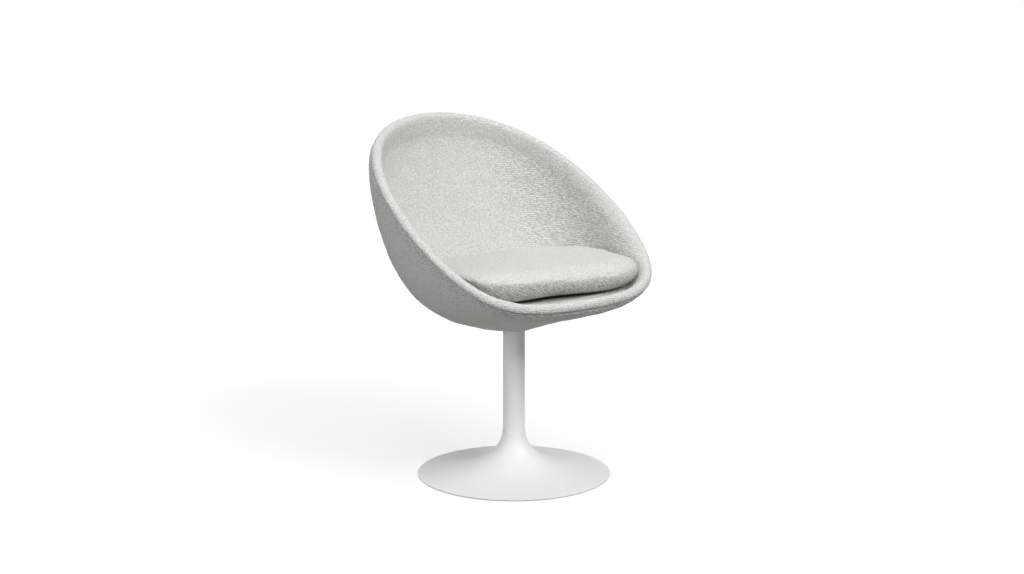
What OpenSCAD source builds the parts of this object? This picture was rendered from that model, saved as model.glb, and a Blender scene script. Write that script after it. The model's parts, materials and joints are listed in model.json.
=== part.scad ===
// Pedestal swivel armchair: an egg-shaped padded tub that turns on a column with a trumpet
// foot, and a loose seat cushion held by touch fasteners.
// The chair faces -Y and +Z is up. The origin lies on the floor, on the column's axis.
// All lengths are in millimetres and all angles in degrees.

/* [Tub rim] */
// Half the distance between the centres of the rolled rim at its sides
rim_half_w = 282; // [262:1:300]
// Distance of the rim's front from the column axis
rim_front_reach = 249; // [236:1:262]
// Distance that the rim's sides lie in front of the column axis
rim_side_reach = 46; // [30:1:60]
// Distance of the rim's back from the column axis
rim_back_reach = 328; // [305:1:345]
// Height of the rim's front above the neck
rim_front_rise = 94; // [90:1:104]
// Height of the rim's sides above the neck
rim_side_rise = 224; // [205:1:245]
// Height of the rim's back above the neck
rim_back_rise = 447; // [410:1:475]
// Radius of the padded roll along the rim, over its cover
rim_roll_r = 13; // [12:0.5:15]

/* [Tub wall] */
// Lean of the wall below the rim at the front, inwards is positive
lean_front = 44; // [38:1:50]
// Lean of the wall below the rim at the sides
lean_side = 26.5; // [22:0.5:31]
// Lean of the wall below the rim at the back, which swells outwards
lean_back = -42; // [-48:1:-36]
// Radius of the neck where the tub meets the column
neck_r = 36; // [35:0.5:42]
// Height of the neck's lower edge, which sets the height of the seat
neck_z = 340; // [280:1:400]
// Slope of the underside where it leaves the neck at the front
slope_front = 21; // [17:1:24]
// Slope of the underside where it leaves the neck at the back
slope_back = 2; // [0:1:6]

/* [Upholstery] */
// Thickness of the woven cover and of the seat deck's lining
cover_t = 2; // [1.5:0.1:2.5]
// Thickness of the foam between the outer cover and the shell
outer_foam_t = 5; // [3:0.5:6]
// Thickness of the moulded structural shell
shell_t = 5; // [4:0.5:6]
// Thickness of the foam on the seat board
deck_foam_t = 31; // [28:1:33]
// Width of the tape sewn behind the rim seam
seam_tape_w = 6; // [4:0.5:6.5]

/* [Cushion] */
// Height of the cushion from its base to the middle of its crown
cushion_h = 60; // [54:1:70]
// Height of the cushion's widest line over its base at the front
cushion_front_swell = 34; // [28:1:38]
// Height of the cushion's widest line over its base at the sides
cushion_side_swell = 42; // [34:1:46]
// Height of the cushion's widest line over its base at the back
cushion_back_swell = 34; // [30:1:42]
// Fall of the cushion's crown towards the back
cushion_fall = 2; // [0:0.5:4]
// Space between the cushion and the rim at the front
cushion_front_gap = 20.5; // [14:0.5:24]
// Space between the cushion and the wall at the sides and back
cushion_side_gap = 2.5; // [2:0.5:5]
// Thickness of the fibre wrap round the foam core
cushion_wrap_t = 8; // [5:1:12]
// Thickness of the cushion's cover
cushion_cover_t = 1.5; // [1:0.1:2]

/* [Column] */
// Outer radius of the column tube
column_r = 25; // [24:0.5:26]
// Wall of the column tube
column_wall = 2.5; // [2:0.1:3]
// Length of the column that stands inside the tub's neck
column_entry = 16; // [12:1:20]

/* [Trumpet foot] */
// Radius of the foot on the floor
foot_r = 220; // [200:1:250]
// Height of the foot's throat, where the column enters it
throat_z = 103; // [90:1:120]
// Height of the foot's upper face at its outer edge
foot_edge_z = 3.7; // [3.2:0.1:5]
// Wall of the spun foot
foot_wall = 2; // [1.5:0.1:2.4]
// Radius of the cast ballast inside the foot
ballast_r = 168; // [140:1:176]
// Height of the ballast's boss, which carries the column
ballast_top_z = 34; // [30:1:38]
// Thickness of the soft ring under the foot's edge
floor_ring_t = 1; // [0.8:0.1:1.4]

/* [Swivel] */
// Radius of the steel spindle
spindle_r = 12.5; // [10:0.5:14]
// Height of the spindle's shoulder under the seat plate
shoulder_h = 26; // [22:1:30]
// Length of each nylon bush
bush_l = 40; // [30:1:48]
// Distance between the two bushes
bush_spacing = 36; // [20:1:60]
// Width of the square seat plate
plate_w = 150; // [130:1:160]
// Thickness of the seat plate
plate_t = 4; // [3:0.5:5]
// Distance between the seat plate's bolts
plate_bolt_spacing = 110; // [90:1:114]
// Thickness of the plywood seat board
board_t = 12; // [12:1:15]

/* [Hidden] */
$fn = 96;

// Clearance between neighbouring pieces, and cut overrun
clear = 0.3;
overrun = 1;
// Radial running clearance of the spindle in its bushes, and of pressed pieces
run_clear = 0.05;
press_clear = 0.05;
// Vertical running clearance of the swivel
thrust_clear = 0.2;

// Steps round the tub, and along each half of a meridian and a rolled rim
around_steps = 48;
wall_steps = 8;
roll_steps = 6;
share_steps = 12;
share_reach = 0.4;
around_angles = [for (i = [0 : around_steps - 1]) i * 360 / around_steps];

// Shares that round off the rim: third harmonics and an egg-like narrowing
rim_square_share = 0.0322;
rim_egg_share = -0.0556;
rim_depth_third_share = 0.02;
rim_rise_third_share = 0.04;

// Handle lengths of the wall's outer and inner curves at front, side and back
outer_rim_handle = [51, 48, 101];
outer_neck_handle = [189, 308, 172];
inner_rim_handle = [12, 88, 45];
inner_deck_handle = [20, 75, 80];
// Width of the wall foam's foot beside the deck foam, at front, side and back, and its height
wall_foot_w = [38, 14.5, 37.5];
wall_foot_h = 15;
// Radius of the vent through the deck's foam and lining
vent_r = 15;

// Swivel stack above the neck
column_top_z = neck_z + column_entry;
bush_flange_t = 3;
thrust_t = 2;
shoulder_z = column_top_z + bush_flange_t + thrust_t + thrust_clear;
plate_z = shoulder_z + shoulder_h;
board_z = plate_z + plate_t + clear;
board_top_z = board_z + board_t;
board_side_gap = 1.2;
deck_foam_z = board_top_z + clear;
deck_z = deck_foam_z + deck_foam_t + clear + cover_t;
wall_foot_z = deck_foam_z + deck_foam_t - wall_foot_h;

// Layers of the wall, as depths under the cover's outside
outer_foam_depth = cover_t + clear;
shell_depth = outer_foam_depth + outer_foam_t + clear;
shell_inner_depth = shell_depth + shell_t;
inner_foam_outer_depth = shell_inner_depth + clear;

// Rim pieces, with lengths measured from the middle of the roll
rim_skirt = 6;
layer_start = 10;
seam_tape_t = 1;
seam_tape_rise = 1;
rim_foam_r = rim_roll_r - cover_t - clear;
seam_tape_depth = cover_t + clear;
rim_recess_depth = seam_tape_depth + seam_tape_t + clear;
roll_step_angle = 180 / roll_steps;

// Neck ring
ring_clear = 2.5;
ring_bore_r = column_r + ring_clear;
ring_wall = 6.5;
ring_r = ring_bore_r + ring_wall;
ring_flange_w = 16;
ring_flange_t = 3;
ring_z = neck_z + cover_t + clear;

// Swivel pieces
column_bore_r = column_r - column_wall;
bush_r = column_bore_r - press_clear;
bush_bore_r = spindle_r + run_clear;
bush_flange_r = column_r - clear;
thrust_r = bush_flange_r;
shoulder_r = 20;
upper_bush_z = column_top_z - bush_l;
lower_bush_z = upper_bush_z - bush_spacing - bush_l;
retainer_gap = 0.5;
retainer_t = 2.5;
retainer_r = bush_r - retainer_gap - overrun;
spindle_end_z = lower_bush_z - retainer_gap;
retainer_bolt_r = 5;
retainer_head_r = 8.5;
retainer_head_h = 6.4;
retainer_bolt_l = 24;

// Seat plate, its bolts and tee nuts
plate_corner_r = 12;
plate_spigot_h = plate_t;
bolt_r = 4;
bolt_hole_r = 4.5;
bolt_head_af_r = 7.5;
bolt_head_h = 5.3;
bolt_washer_r = 8.5;
bolt_washer_t = 1.6;
tee_flange_r = 11;
tee_flange_t = 1.5;
tee_barrel_r = 5.5;
tee_barrel_l = 8;
tee_clear = 0.2;
bolt_end_gap = 1;

// Pedestal clamp under the column
clamp_bolt_r = 8;
clamp_head_r = 13.8;
clamp_head_h = 10;
clamp_washer_r = 15;
clamp_washer_t = 3;
clamp_spring_t = 3.5;
clamp_spring_r = 13.5;
clamp_slot_w = 3;
clamp_clear = 0.1;
clamp_counterbore_r = 18;
clamp_head_z = 3.5;
clamp_counterbore_z = clamp_head_z + clamp_head_h + clamp_spring_t + clamp_washer_t;
foot_plug_h = 25;
clamp_bolt_end_gap = 2;

// Trumpet foot profile
throat_lip = 1.3;
throat_handle = 36;
edge_handle = 158;
edge_handle_rise = 5.5;
foot_steps = 24;
hem_w = 16;
hem_chamfer = 0.8;
floor_ring_inset = 3;
floor_ring_w = 11;
ballast_z = 2;

// Cushion
pad_t = 1.2;
pad_w = 30;
pad_l = 140;
pad_spacing = 180;
pad_corner_r = 4;
pad_forward = 20;
cushion_z = deck_z + 2 * pad_t + clear;
// Rise of the cushion's shoulders over the middle of its crown at front, side and back
shoulder_rises = [-2, 1, -5];
// Width of the rounded edge over and under the widest line at front, side and back
crown_edges = [80, 14, 65];
base_edges = [80, 45, 52];
// Angle at which the rounded edge ends and the flatter middle starts
edge_end_angle = 60;
crown_angles = [0, 13, 26, 38, 50, 60, 85];
skirt_angles = [-40, -22, -8];
base_angles = [-85, -60, -41];
zip_angle = -20;
zip_half_h_angle = 5;
zip_t = 1.2;
zip_start_step = 19;
zip_end_step = 29;

// Colours
fabric_colour = [0.84, 0.84, 0.81];
foam_colour = [0.93, 0.87, 0.62];
white_colour = [0.93, 0.93, 0.92];
steel_colour = [0.62, 0.64, 0.66];
nylon_colour = [0.95, 0.94, 0.88];
iron_colour = [0.22, 0.22, 0.23];
plywood_colour = [0.80, 0.64, 0.42];
shell_colour = [0.55, 0.57, 0.52];
dark_colour = [0.16, 0.16, 0.17];
lining_colour = [0.35, 0.35, 0.35];
wadding_colour = [0.97, 0.97, 0.95];

// A value that goes smoothly round the tub through its front, side and back values
function around(front, side, back, t) = (front + 2 * side + back) / 4
    + (front - back) / 2 * cos(t) + (front - 2 * side + back) / 4 * cos(2 * t);
function around_of(v, t) = around(v[0], v[1], v[2], t);

// Centre of the rolled rim at angle t round it, 0 at the front
function rim_x(t) = rim_half_w * (sin(t) * (1 + rim_square_share)
    + rim_egg_share * sin(2 * t) + rim_square_share * sin(3 * t));
rim_y_third = rim_depth_third_share * (rim_front_reach + rim_back_reach) / 2;
function rim_y(t) = around(-rim_front_reach - rim_y_third, -rim_side_reach,
    rim_back_reach + rim_y_third, t) + rim_y_third * cos(3 * t);
rim_z_third = rim_rise_third_share * (rim_back_rise - rim_front_rise) / 2;
function rim_z(t) = neck_z + around(rim_front_rise - rim_z_third, rim_side_rise,
    rim_back_rise + rim_z_third, t) + rim_z_third * cos(3 * t);

// Each meridian is a half plane through the column axis, with points [radius, height]
function rim_centre(t) = [norm([rim_x(t), rim_y(t)]), rim_z(t)];
function lean(t) = around(lean_front, lean_side, lean_back, t);
function rim_out(t) = [cos(lean(t)), -sin(lean(t))];
function rim_down(t) = [-sin(lean(t)), -cos(lean(t))];
function slope(t) = (slope_front + slope_back) / 2 + (slope_front - slope_back) / 2 * cos(t);

// Control points of the wall's outer curve, from the rim to the neck
function outer_controls(t) = let (start = rim_centre(t) + rim_roll_r * rim_out(t))
    [start, start + around_of(outer_rim_handle, t) * rim_down(t),
    [neck_r, neck_z] + around_of(outer_neck_handle, t) * [cos(slope(t)), sin(slope(t))],
    [neck_r, neck_z]];
// Control points of the wall's inner curve, from the rim to the edge of the deck
function inner_controls(t) = let (start = rim_centre(t) - rim_roll_r * rim_out(t))
    [start, start + around_of(inner_rim_handle, t) * rim_down(t),
    [around_of(deck_reach, t) + around_of(inner_deck_handle, t), deck_z],
    [around_of(deck_reach, t), deck_z]];

// Point and unit normal of a cubic curve. The normal points to the right of its travel
function curve_point(c, s) = pow(1 - s, 3) * c[0] + 3 * pow(1 - s, 2) * s * c[1]
    + 3 * (1 - s) * s * s * c[2] + s * s * s * c[3];
function curve_travel(c, s) = pow(1 - s, 2) * (c[1] - c[0])
    + 2 * (1 - s) * s * (c[2] - c[1]) + s * s * (c[3] - c[2]);
function curve_normal(c, s) = let (v = curve_travel(c, s) / norm(curve_travel(c, s)))
    [-v[1], v[0]];
function curve_offset(c, s, depth) = curve_point(c, s) - depth * curve_normal(c, s);

// Share of a curve that lies at a short distance from its start at the rim
function curve_share(c, distance) =
    lookup(distance, [for (k = [0 : share_steps]) let (s = k / share_steps * share_reach)
        [norm(curve_point(c, s) - c[0]), s]]);
// Rows along a curve for the layers of the wall, which start a little below the rim
function layer_rows(c) = let (start = curve_share(c, layer_start))
    [for (j = [0 : wall_steps]) start + (1 - start) * j / wall_steps];

// Keeps a layer clear of the neck ring's barrel
function clear_of_ring(p) = [max(p[0], ring_r + clear), p[1]];
function outer_layer(t, depth) = let (c = outer_controls(t))
    [for (s = layer_rows(c)) clear_of_ring(curve_offset(c, s, depth))];
function inner_layer(t, depth) = let (c = inner_controls(t))
    [for (s = layer_rows(c)) curve_offset(c, s, -depth)];
function backwards(list) = [for (k = [len(list) - 1 : -1 : 0]) list[k]];

// Radius of the shell's inner face at a height, and its height at a radius
function shell_r_at(t, z) = let (p = outer_layer(t, shell_inner_depth))
    lookup(z, [for (q = backwards(p)) [q[1], q[0]]]);
function shell_z_at(t, r) = let (p = outer_layer(t, shell_inner_depth))
    lookup(r, [for (q = backwards(p)) [q[0], q[1]]]);
ring_flange_z = clear + max([for (t = around_angles) shell_z_at(t, ring_r + ring_flange_w)]);
// Distance of the deck's edge from the axis at front, side and back
deck_reach = [for (k = [0 : 2]) shell_r_at(180 / 2 * k, wall_foot_z) - wall_foot_w[k]];

// Radius of the tub's lining at a height, held at the rim above it
function lining_r_at(t, z) = let (p = concat([inner_controls(t)[0]], inner_layer(t, 0)))
    lookup(z, [for (q = backwards(p)) [q[1], q[0]]]);

// Places a meridian's [radius, height] point in space
function in_space(t, p) = let (a = atan2(rim_x(t), -rim_y(t)))
    [p[0] * sin(a), -p[0] * cos(a), p[1]];

// Skins a stack of rings of points. Closed stacks join their last ring to their first,
// and open ones end in a fan of triangles round the middle of each end ring
module skin_rings(rings, closed) {
    n = len(rings[0]);
    m = len(rings);
    last = closed ? m - 1 : m - 2;
    ends = closed ? [] : [for (ring = [rings[0], rings[m - 1]])
        [for (k = [0 : 2]) [for (p = ring) p[k]] * [for (p = ring) 1] / n]];
    sides = [for (j = [0 : last], i = [0 : n - 1])
        let (k = (j + 1) % m, rises = rings[k][i][2] > rings[j][i][2], a = j * n + i,
            b = j * n + (i + 1) % n, c = k * n + (i + 1) % n, d = k * n + i)
        each rises == (i < n / 2) ? [[a, b, c], [a, c, d]] : [[a, b, d], [b, c, d]]];
    caps = closed ? [] : [for (i = [0 : n - 1]) each
        [[(i + 1) % n, i, n * m], [(m - 1) * n + i, (m - 1) * n + (i + 1) % n, n * m + 1]]];
    polyhedron(points = [each [for (ring = rings) each ring], each ends],
        faces = concat(sides, caps), convexity = 8);
}

// Each quad is cut along the same diagonal on every layer, so that layers stay parallel.
// Turns one section per meridian into rings that run round the tub
module skin_sections(sections) {
    rings = [for (j = [len(sections[0]) - 1 : -1 : 0])
        [for (i = [0 : around_steps - 1]) in_space(around_angles[i], sections[i][j])]];
    skin_rings(rings, true);
}

// A layer of the wall between two depths under the outer cover's face
module wall_layer(depth, inner_depth) {
    skin_sections([for (t = around_angles)
        concat(outer_layer(t, inner_depth), backwards(outer_layer(t, depth)))]);
}

// A ring with a true bore
module bored(r, bore, h) {
    difference() {
        cylinder(r = r, h = h);
        translate([0, 0, -overrun]) cylinder(r = bore, h = h + 2 * overrun);
    }
}

module at_plate_bolts() {
    for (x = [-1, 1], y = [-1, 1])
        translate([x * plate_bolt_spacing / 2, y * plate_bolt_spacing / 2, 0]) children();
}

// Foot profile: one cubic curve from the throat to the outer edge
foot_controls = [[column_r + throat_lip, throat_z],
    [column_r + throat_lip, throat_z - throat_handle],
    [foot_r - edge_handle, foot_edge_z + edge_handle_rise], [foot_r, foot_edge_z]];
function foot_line(depth) = [for (j = [0 : foot_steps])
    let (p = curve_offset(foot_controls, j / foot_steps, depth))
    [max(p[0], column_r + press_clear), p[1]]];
hem_inner_r = foot_r - hem_w;

module trumpet_foot() color(white_colour) rotate_extrude() polygon(concat(
    foot_line(0),
    [[foot_r, floor_ring_t + hem_chamfer], [foot_r - hem_chamfer, floor_ring_t],
    [hem_inner_r, floor_ring_t]],
    backwards([for (p = foot_line(foot_wall)) if (p[0] < hem_inner_r - overrun) p])));

module floor_ring() color(dark_colour)
    bored(foot_r - floor_ring_inset, foot_r - floor_ring_inset - floor_ring_w, floor_ring_t);

module ballast_disc() color(iron_colour) difference() {
    rotate_extrude() polygon(concat(
        [[0, ballast_z], [ballast_r, ballast_z]],
        backwards([for (p = foot_line(foot_wall + clear))
            if (p[0] < ballast_r && p[1] < ballast_top_z) p]),
        [[lookup(ballast_top_z, [for (p = backwards(foot_line(foot_wall + clear)))
            [p[1], p[0]]]), ballast_top_z], [0, ballast_top_z]]));
    translate([0, 0, -overrun]) cylinder(r = clamp_bolt_r + clear, h = ballast_top_z + 2 * overrun);
    translate([0, 0, -overrun]) cylinder(r = clamp_counterbore_r, h = clamp_counterbore_z + overrun);
}

module column_tube() color(white_colour) translate([0, 0, ballast_top_z])
    bored(column_r, column_bore_r, column_top_z - ballast_top_z);

module foot_plug() color(steel_colour) translate([0, 0, ballast_top_z])
    bored(bush_r, clamp_bolt_r + clamp_clear, foot_plug_h);

module pedestal_bolt() color(steel_colour) {
    translate([0, 0, clamp_head_z]) cylinder(r = clamp_head_r, h = clamp_head_h, $fn = 6);
    translate([0, 0, clamp_head_z + clamp_head_h - overrun]) cylinder(r = clamp_bolt_r,
        h = ballast_top_z + foot_plug_h - clamp_bolt_end_gap - clamp_head_z - clamp_head_h + overrun);
}

module bolt_spring_washer() color(steel_colour)
    translate([0, 0, clamp_head_z + clamp_head_h]) difference() {
        bored(clamp_spring_r, clamp_bolt_r + clear, clamp_spring_t);
        translate([0, -clamp_slot_w / 2, -overrun])
            cube([clamp_spring_r + overrun, clamp_slot_w, clamp_spring_t + 2 * overrun]);
    }

module bolt_washer() color(steel_colour)
    translate([0, 0, clamp_counterbore_z - clamp_washer_t])
    bored(clamp_washer_r, clamp_bolt_r + clear, clamp_washer_t);

module upper_bush() color(nylon_colour) translate([0, 0, upper_bush_z]) {
    bored(bush_r, bush_bore_r, bush_l + bush_flange_t);
    translate([0, 0, bush_l]) bored(bush_flange_r, bush_bore_r, bush_flange_t);
}

module lower_bush() color(nylon_colour) translate([0, 0, lower_bush_z])
    bored(bush_r, bush_bore_r, bush_l);

module thrust_washer() color(steel_colour) translate([0, 0, column_top_z + bush_flange_t])
    bored(thrust_r, bush_bore_r, thrust_t);

module swivel_spindle() color(steel_colour) difference() {
    union() {
        translate([0, 0, spindle_end_z])
            cylinder(r = spindle_r, h = plate_z + plate_spigot_h - spindle_end_z);
        translate([0, 0, shoulder_z]) cylinder(r = shoulder_r, h = shoulder_h);
    }
    translate([0, 0, spindle_end_z - overrun])
        cylinder(r = retainer_bolt_r + clamp_clear, h = retainer_bolt_l + overrun);
}

module retaining_washer() color(steel_colour)
    translate([0, 0, spindle_end_z - retainer_t])
    bored(retainer_r, retainer_bolt_r + clamp_clear, retainer_t);

module retaining_bolt() color(steel_colour) {
    translate([0, 0, spindle_end_z - retainer_t - retainer_head_h])
        cylinder(r = retainer_head_r, h = retainer_head_h, $fn = 6);
    translate([0, 0, spindle_end_z - retainer_t - overrun])
        cylinder(r = retainer_bolt_r, h = retainer_bolt_l + retainer_t - bolt_end_gap);
}

module seat_plate() color(steel_colour) translate([0, 0, plate_z]) difference() {
    linear_extrude(plate_t) offset(r = plate_corner_r, $fn = 32)
        square(plate_w - 2 * plate_corner_r, center = true);
    translate([0, 0, -overrun]) cylinder(r = spindle_r + clear, h = plate_t + 2 * overrun);
    at_plate_bolts() translate([0, 0, -overrun]) cylinder(r = bolt_hole_r, h = plate_t + 2 * overrun);
}

module plate_washers() color(steel_colour) at_plate_bolts()
    translate([0, 0, plate_z - bolt_washer_t]) bored(bolt_washer_r, bolt_hole_r, bolt_washer_t);

module plate_bolts() color(steel_colour) at_plate_bolts() {
    translate([0, 0, plate_z - bolt_washer_t - bolt_head_h])
        cylinder(r = bolt_head_af_r, h = bolt_head_h, $fn = 6);
    translate([0, 0, plate_z - bolt_washer_t - overrun]) cylinder(r = bolt_r,
        h = board_top_z - bolt_end_gap - plate_z + bolt_washer_t + overrun);
}

module tee_nuts() color(steel_colour) at_plate_bolts() {
    translate([0, 0, board_top_z - tee_flange_t]) bored(tee_flange_r, bolt_r + tee_clear, tee_flange_t);
    translate([0, 0, board_top_z - tee_flange_t - tee_barrel_l])
        bored(tee_barrel_r, bolt_r + tee_clear, tee_barrel_l + tee_flange_t);
}

module seat_board() color(plywood_colour) difference() {
    translate([0, 0, board_z]) linear_extrude(board_t) polygon([for (t = around_angles)
        let (p = in_space(t, [shell_r_at(t, board_z) - board_side_gap, 0])) [p[0], p[1]]]);
    at_plate_bolts() translate([0, 0, board_z - overrun])
        cylinder(r = tee_barrel_r + tee_clear, h = board_t + 2 * overrun);
    at_plate_bolts() translate([0, 0, board_top_z - tee_flange_t - tee_clear])
        cylinder(r = tee_flange_r + tee_clear, h = tee_flange_t + tee_clear + overrun);
}

module neck_ring() color(white_colour) {
    translate([0, 0, ring_z]) bored(ring_r, ring_bore_r, ring_flange_z + ring_flange_t - ring_z);
    translate([0, 0, ring_flange_z]) bored(ring_r + ring_flange_w, ring_bore_r, ring_flange_t);
}

module structural_shell() color(shell_colour) wall_layer(shell_depth, shell_inner_depth);

module outer_foam() color(foam_colour) wall_layer(outer_foam_depth, outer_foam_depth + outer_foam_t);

// Rows of the foam's outside that lie below the wall foam's foot move in onto its bottom face,
// and rows that lie above the deck foam's ledge move in onto the ledge
function onto_foot(rows, edge) = let (last = rows[wall_steps], corner = shell_foam_r(rows))
    [for (p = rows) p[1] > wall_foot_z ? p
        : [edge + (corner - edge) * (p[0] - last[0]) / (corner - last[0]), wall_foot_z]];
function onto_ledge(rows, edge) = let (corner = shell_foam_r(rows), ledge_z = wall_foot_z - clear)
    [for (p = rows) p[1] < ledge_z ? [p[0], max(p[1], deck_foam_z)]
        : [corner - (corner - edge) * (p[1] - ledge_z) / (rows[0][1] - ledge_z), ledge_z]];
function shell_foam_r(rows) = lookup(wall_foot_z, [for (q = backwards(rows)) [q[1], q[0]]]);

// Fills between the shell and the lining, and stands on the deck foam's ledge
module inner_foam() color(foam_colour) skin_sections([for (t = around_angles) concat(
    inner_layer(t, cover_t + clear), backwards(onto_foot(
        outer_layer(t, inner_foam_outer_depth), around_of(deck_reach, t))))]);
module deck_foam() color(foam_colour) skin_sections([for (t = around_angles)
    let (edge = around_of(deck_reach, t) - clear, top = deck_foam_z + deck_foam_t) concat(
        [[edge, top], [vent_r, top], [vent_r, deck_foam_z]],
        backwards(onto_ledge(outer_layer(t, inner_foam_outer_depth), edge)))]);

// A point of the rolled rim's section: across it, and above its centre line
function rim_point(t, across, above) = rim_centre(t) + across * rim_out(t) - above * rim_down(t);
function roll_arc(t, r, first) = [for (k = [first : roll_steps])
    rim_point(t, r * cos(k * roll_step_angle), r * sin(k * roll_step_angle))];

// Points a short way down the wall's curves from the rim, at a depth under the covers
function near_rim_out(t, down, depth) = let (c = outer_controls(t))
    curve_offset(c, curve_share(c, down), depth);
function near_rim_in(t, down, depth) = let (c = inner_controls(t))
    curve_offset(c, curve_share(c, down), -depth);
tape_drop = seam_tape_w - seam_tape_rise;

module rim_foam() color(foam_colour) skin_sections([for (t = around_angles) concat(
    [near_rim_out(t, rim_skirt, rim_recess_depth), near_rim_out(t, 0, rim_recess_depth),
    rim_point(t, rim_roll_r - rim_recess_depth, seam_tape_rise + clear)],
    roll_arc(t, rim_foam_r, 1), [near_rim_in(t, rim_skirt, cover_t + clear)])]);

module inner_cover() color(fabric_colour) skin_sections([for (t = around_angles) concat(
    roll_arc(t, rim_roll_r, 0), [near_rim_in(t, rim_skirt, 0)], inner_layer(t, 0),
    backwards(inner_layer(t, cover_t)), [near_rim_in(t, rim_skirt, cover_t)],
    backwards(roll_arc(t, rim_roll_r - cover_t, 0)))]);

module outer_cover() color(fabric_colour) skin_sections([for (t = around_angles)
    let (c = outer_controls(t), drop = clear * rim_down(t)) concat(
    [c[0] + drop - cover_t * rim_out(t), near_rim_out(t, tape_drop, cover_t)],
    [for (s = layer_rows(c)) curve_offset(c, s, cover_t)],
    [[ring_bore_r, neck_z + cover_t], [ring_bore_r, neck_z]],
    [for (s = backwards(layer_rows(c))) curve_point(c, s)],
    [near_rim_out(t, tape_drop, 0), c[0] + drop])]);

module seam_tape() color(lining_colour) skin_sections([for (t = around_angles) [
    rim_point(t, rim_foam_r - clear, seam_tape_rise),
    rim_point(t, rim_foam_r - seam_tape_t, seam_tape_rise),
    near_rim_out(t, 0, seam_tape_depth + seam_tape_t),
    near_rim_out(t, tape_drop, seam_tape_depth + seam_tape_t),
    near_rim_out(t, tape_drop, seam_tape_depth), near_rim_out(t, 0, seam_tape_depth)]]);

module deck_lining() color(lining_colour) translate([0, 0, deck_z - cover_t]) difference() {
    linear_extrude(cover_t) polygon([for (t = around_angles)
        let (p = in_space(t, [around_of(deck_reach, t) - clear, 0])) [p[0], p[1]]]);
    translate([0, 0, -overrun]) cylinder(r = vent_r, h = cover_t + 2 * overrun);
}

module touch_pads() {
    for (x = [-1, 1]) translate([x * pad_spacing / 2, -pad_forward, 0])
        linear_extrude(pad_t) offset(r = pad_corner_r, $fn = 24)
        square([pad_w - 2 * pad_corner_r, pad_l - 2 * pad_corner_r], center = true);
}
module deck_pads() color(dark_colour) translate([0, 0, deck_z]) touch_pads();
module cushion_pads() color(dark_colour) translate([0, 0, cushion_z - pad_t]) touch_pads();

// Limit that the tub's lining sets for the cushion at a height
function cushion_gap(t) = cushion_side_gap
    + (cushion_front_gap - cushion_side_gap) * pow(max(cos(t), 0), 3);
function cushion_limit(t, z) = lining_r_at(t, z) - cushion_gap(t);

// A point on the cushion at a depth under its cover. Angle a runs from -90 under the middle of
// the base, through 0 on the widest line, to 90 on the middle of the crown. The profile is a
// quarter of an ellipse above and below the widest line, and a flatter middle
function cushion_point(t, a, depth) = let (
    swell = around(cushion_front_swell, cushion_side_swell, cushion_back_swell, t),
    shoulder = around_of(shoulder_rises, t),
    h = a > 0 ? cushion_h + shoulder - swell : swell,
    edge = around_of(a > 0 ? crown_edges : base_edges, t),
    turn = 90 * min(abs(a) / edge_end_angle, 1),
    middle = max(abs(a) - edge_end_angle, 0) / (90 - edge_end_angle),
    rise = sign(a) * sin(turn),
    dome = a > 0 ? -shoulder * (1 - pow(1 - middle, 2)) : 0,
    r = (cushion_limit(t, cushion_z + swell) - depth - edge * (1 - cos(turn))) * (1 - middle),
    y = r * rim_y(t) / rim_centre(t)[0],
    z = cushion_z + swell + (h - depth) * rise + dome - y * tan(cushion_fall) * max(rise, 0))
    in_space(t, [min(r, cushion_limit(t, min(z, z + depth * rise)) - depth), z]);
function cushion_ring(a, depth) = [for (t = around_angles) cushion_point(t, a, depth)];
function cushion_rings(angles, depth) = [for (a = angles) cushion_ring(a, depth)];

// A cap over the crown and its skirt, between two depths under the cover's face
cap_angles = concat(skirt_angles, crown_angles);
function cap_rings(depth, inner_depth) = concat(
    cushion_rings(backwards(cap_angles), depth), cushion_rings(cap_angles, inner_depth));

cushion_wrap_depth = cushion_cover_t + 2 * clear;
cushion_core_depth = cushion_wrap_depth + cushion_wrap_t + 2 * clear;

module cushion_cover_top() color(fabric_colour) skin_rings(cap_rings(0, cushion_cover_t), false);

module cushion_wrap() color(wadding_colour)
    skin_rings(cap_rings(cushion_wrap_depth, cushion_wrap_depth + cushion_wrap_t), false);

module cushion_cover_base() color(lining_colour) skin_rings(concat(
    cushion_rings(base_angles, cushion_cover_t), cushion_rings(backwards(base_angles), 0)), false);

// The core is drawn in by the wrap on its sides and crown, and lies on the base panel
module cushion_core() color(foam_colour) skin_rings(concat(
    cushion_rings(backwards(crown_angles), cushion_core_depth),
    cushion_rings(backwards(skirt_angles), cushion_core_depth),
    [for (a = backwards(base_angles)) [for (t = around_angles)
        let (inner = cushion_point(t, a, cushion_core_depth), low = cushion_point(t, a, cushion_wrap_depth),
            side = norm([low[0], low[1]]) - (cushion_core_depth - cushion_wrap_depth),
            k = min(1, side / norm([inner[0], inner[1]])))
        [inner[0] * k, inner[1] * k, low[2]]]]), false);

// The zip's tape lies over the seam at the cushion's lower rear edge
module cushion_zip() color(dark_colour) skin_rings([for (i = [zip_start_step : zip_end_step])
    let (t = around_angles[i]) [
    cushion_point(t, zip_angle + zip_half_h_angle, -2 * clear - zip_t),
    cushion_point(t, zip_angle + zip_half_h_angle, -2 * clear),
    cushion_point(t, zip_angle - zip_half_h_angle, -2 * clear),
    cushion_point(t, zip_angle - zip_half_h_angle, -2 * clear - zip_t)]], false);

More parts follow.
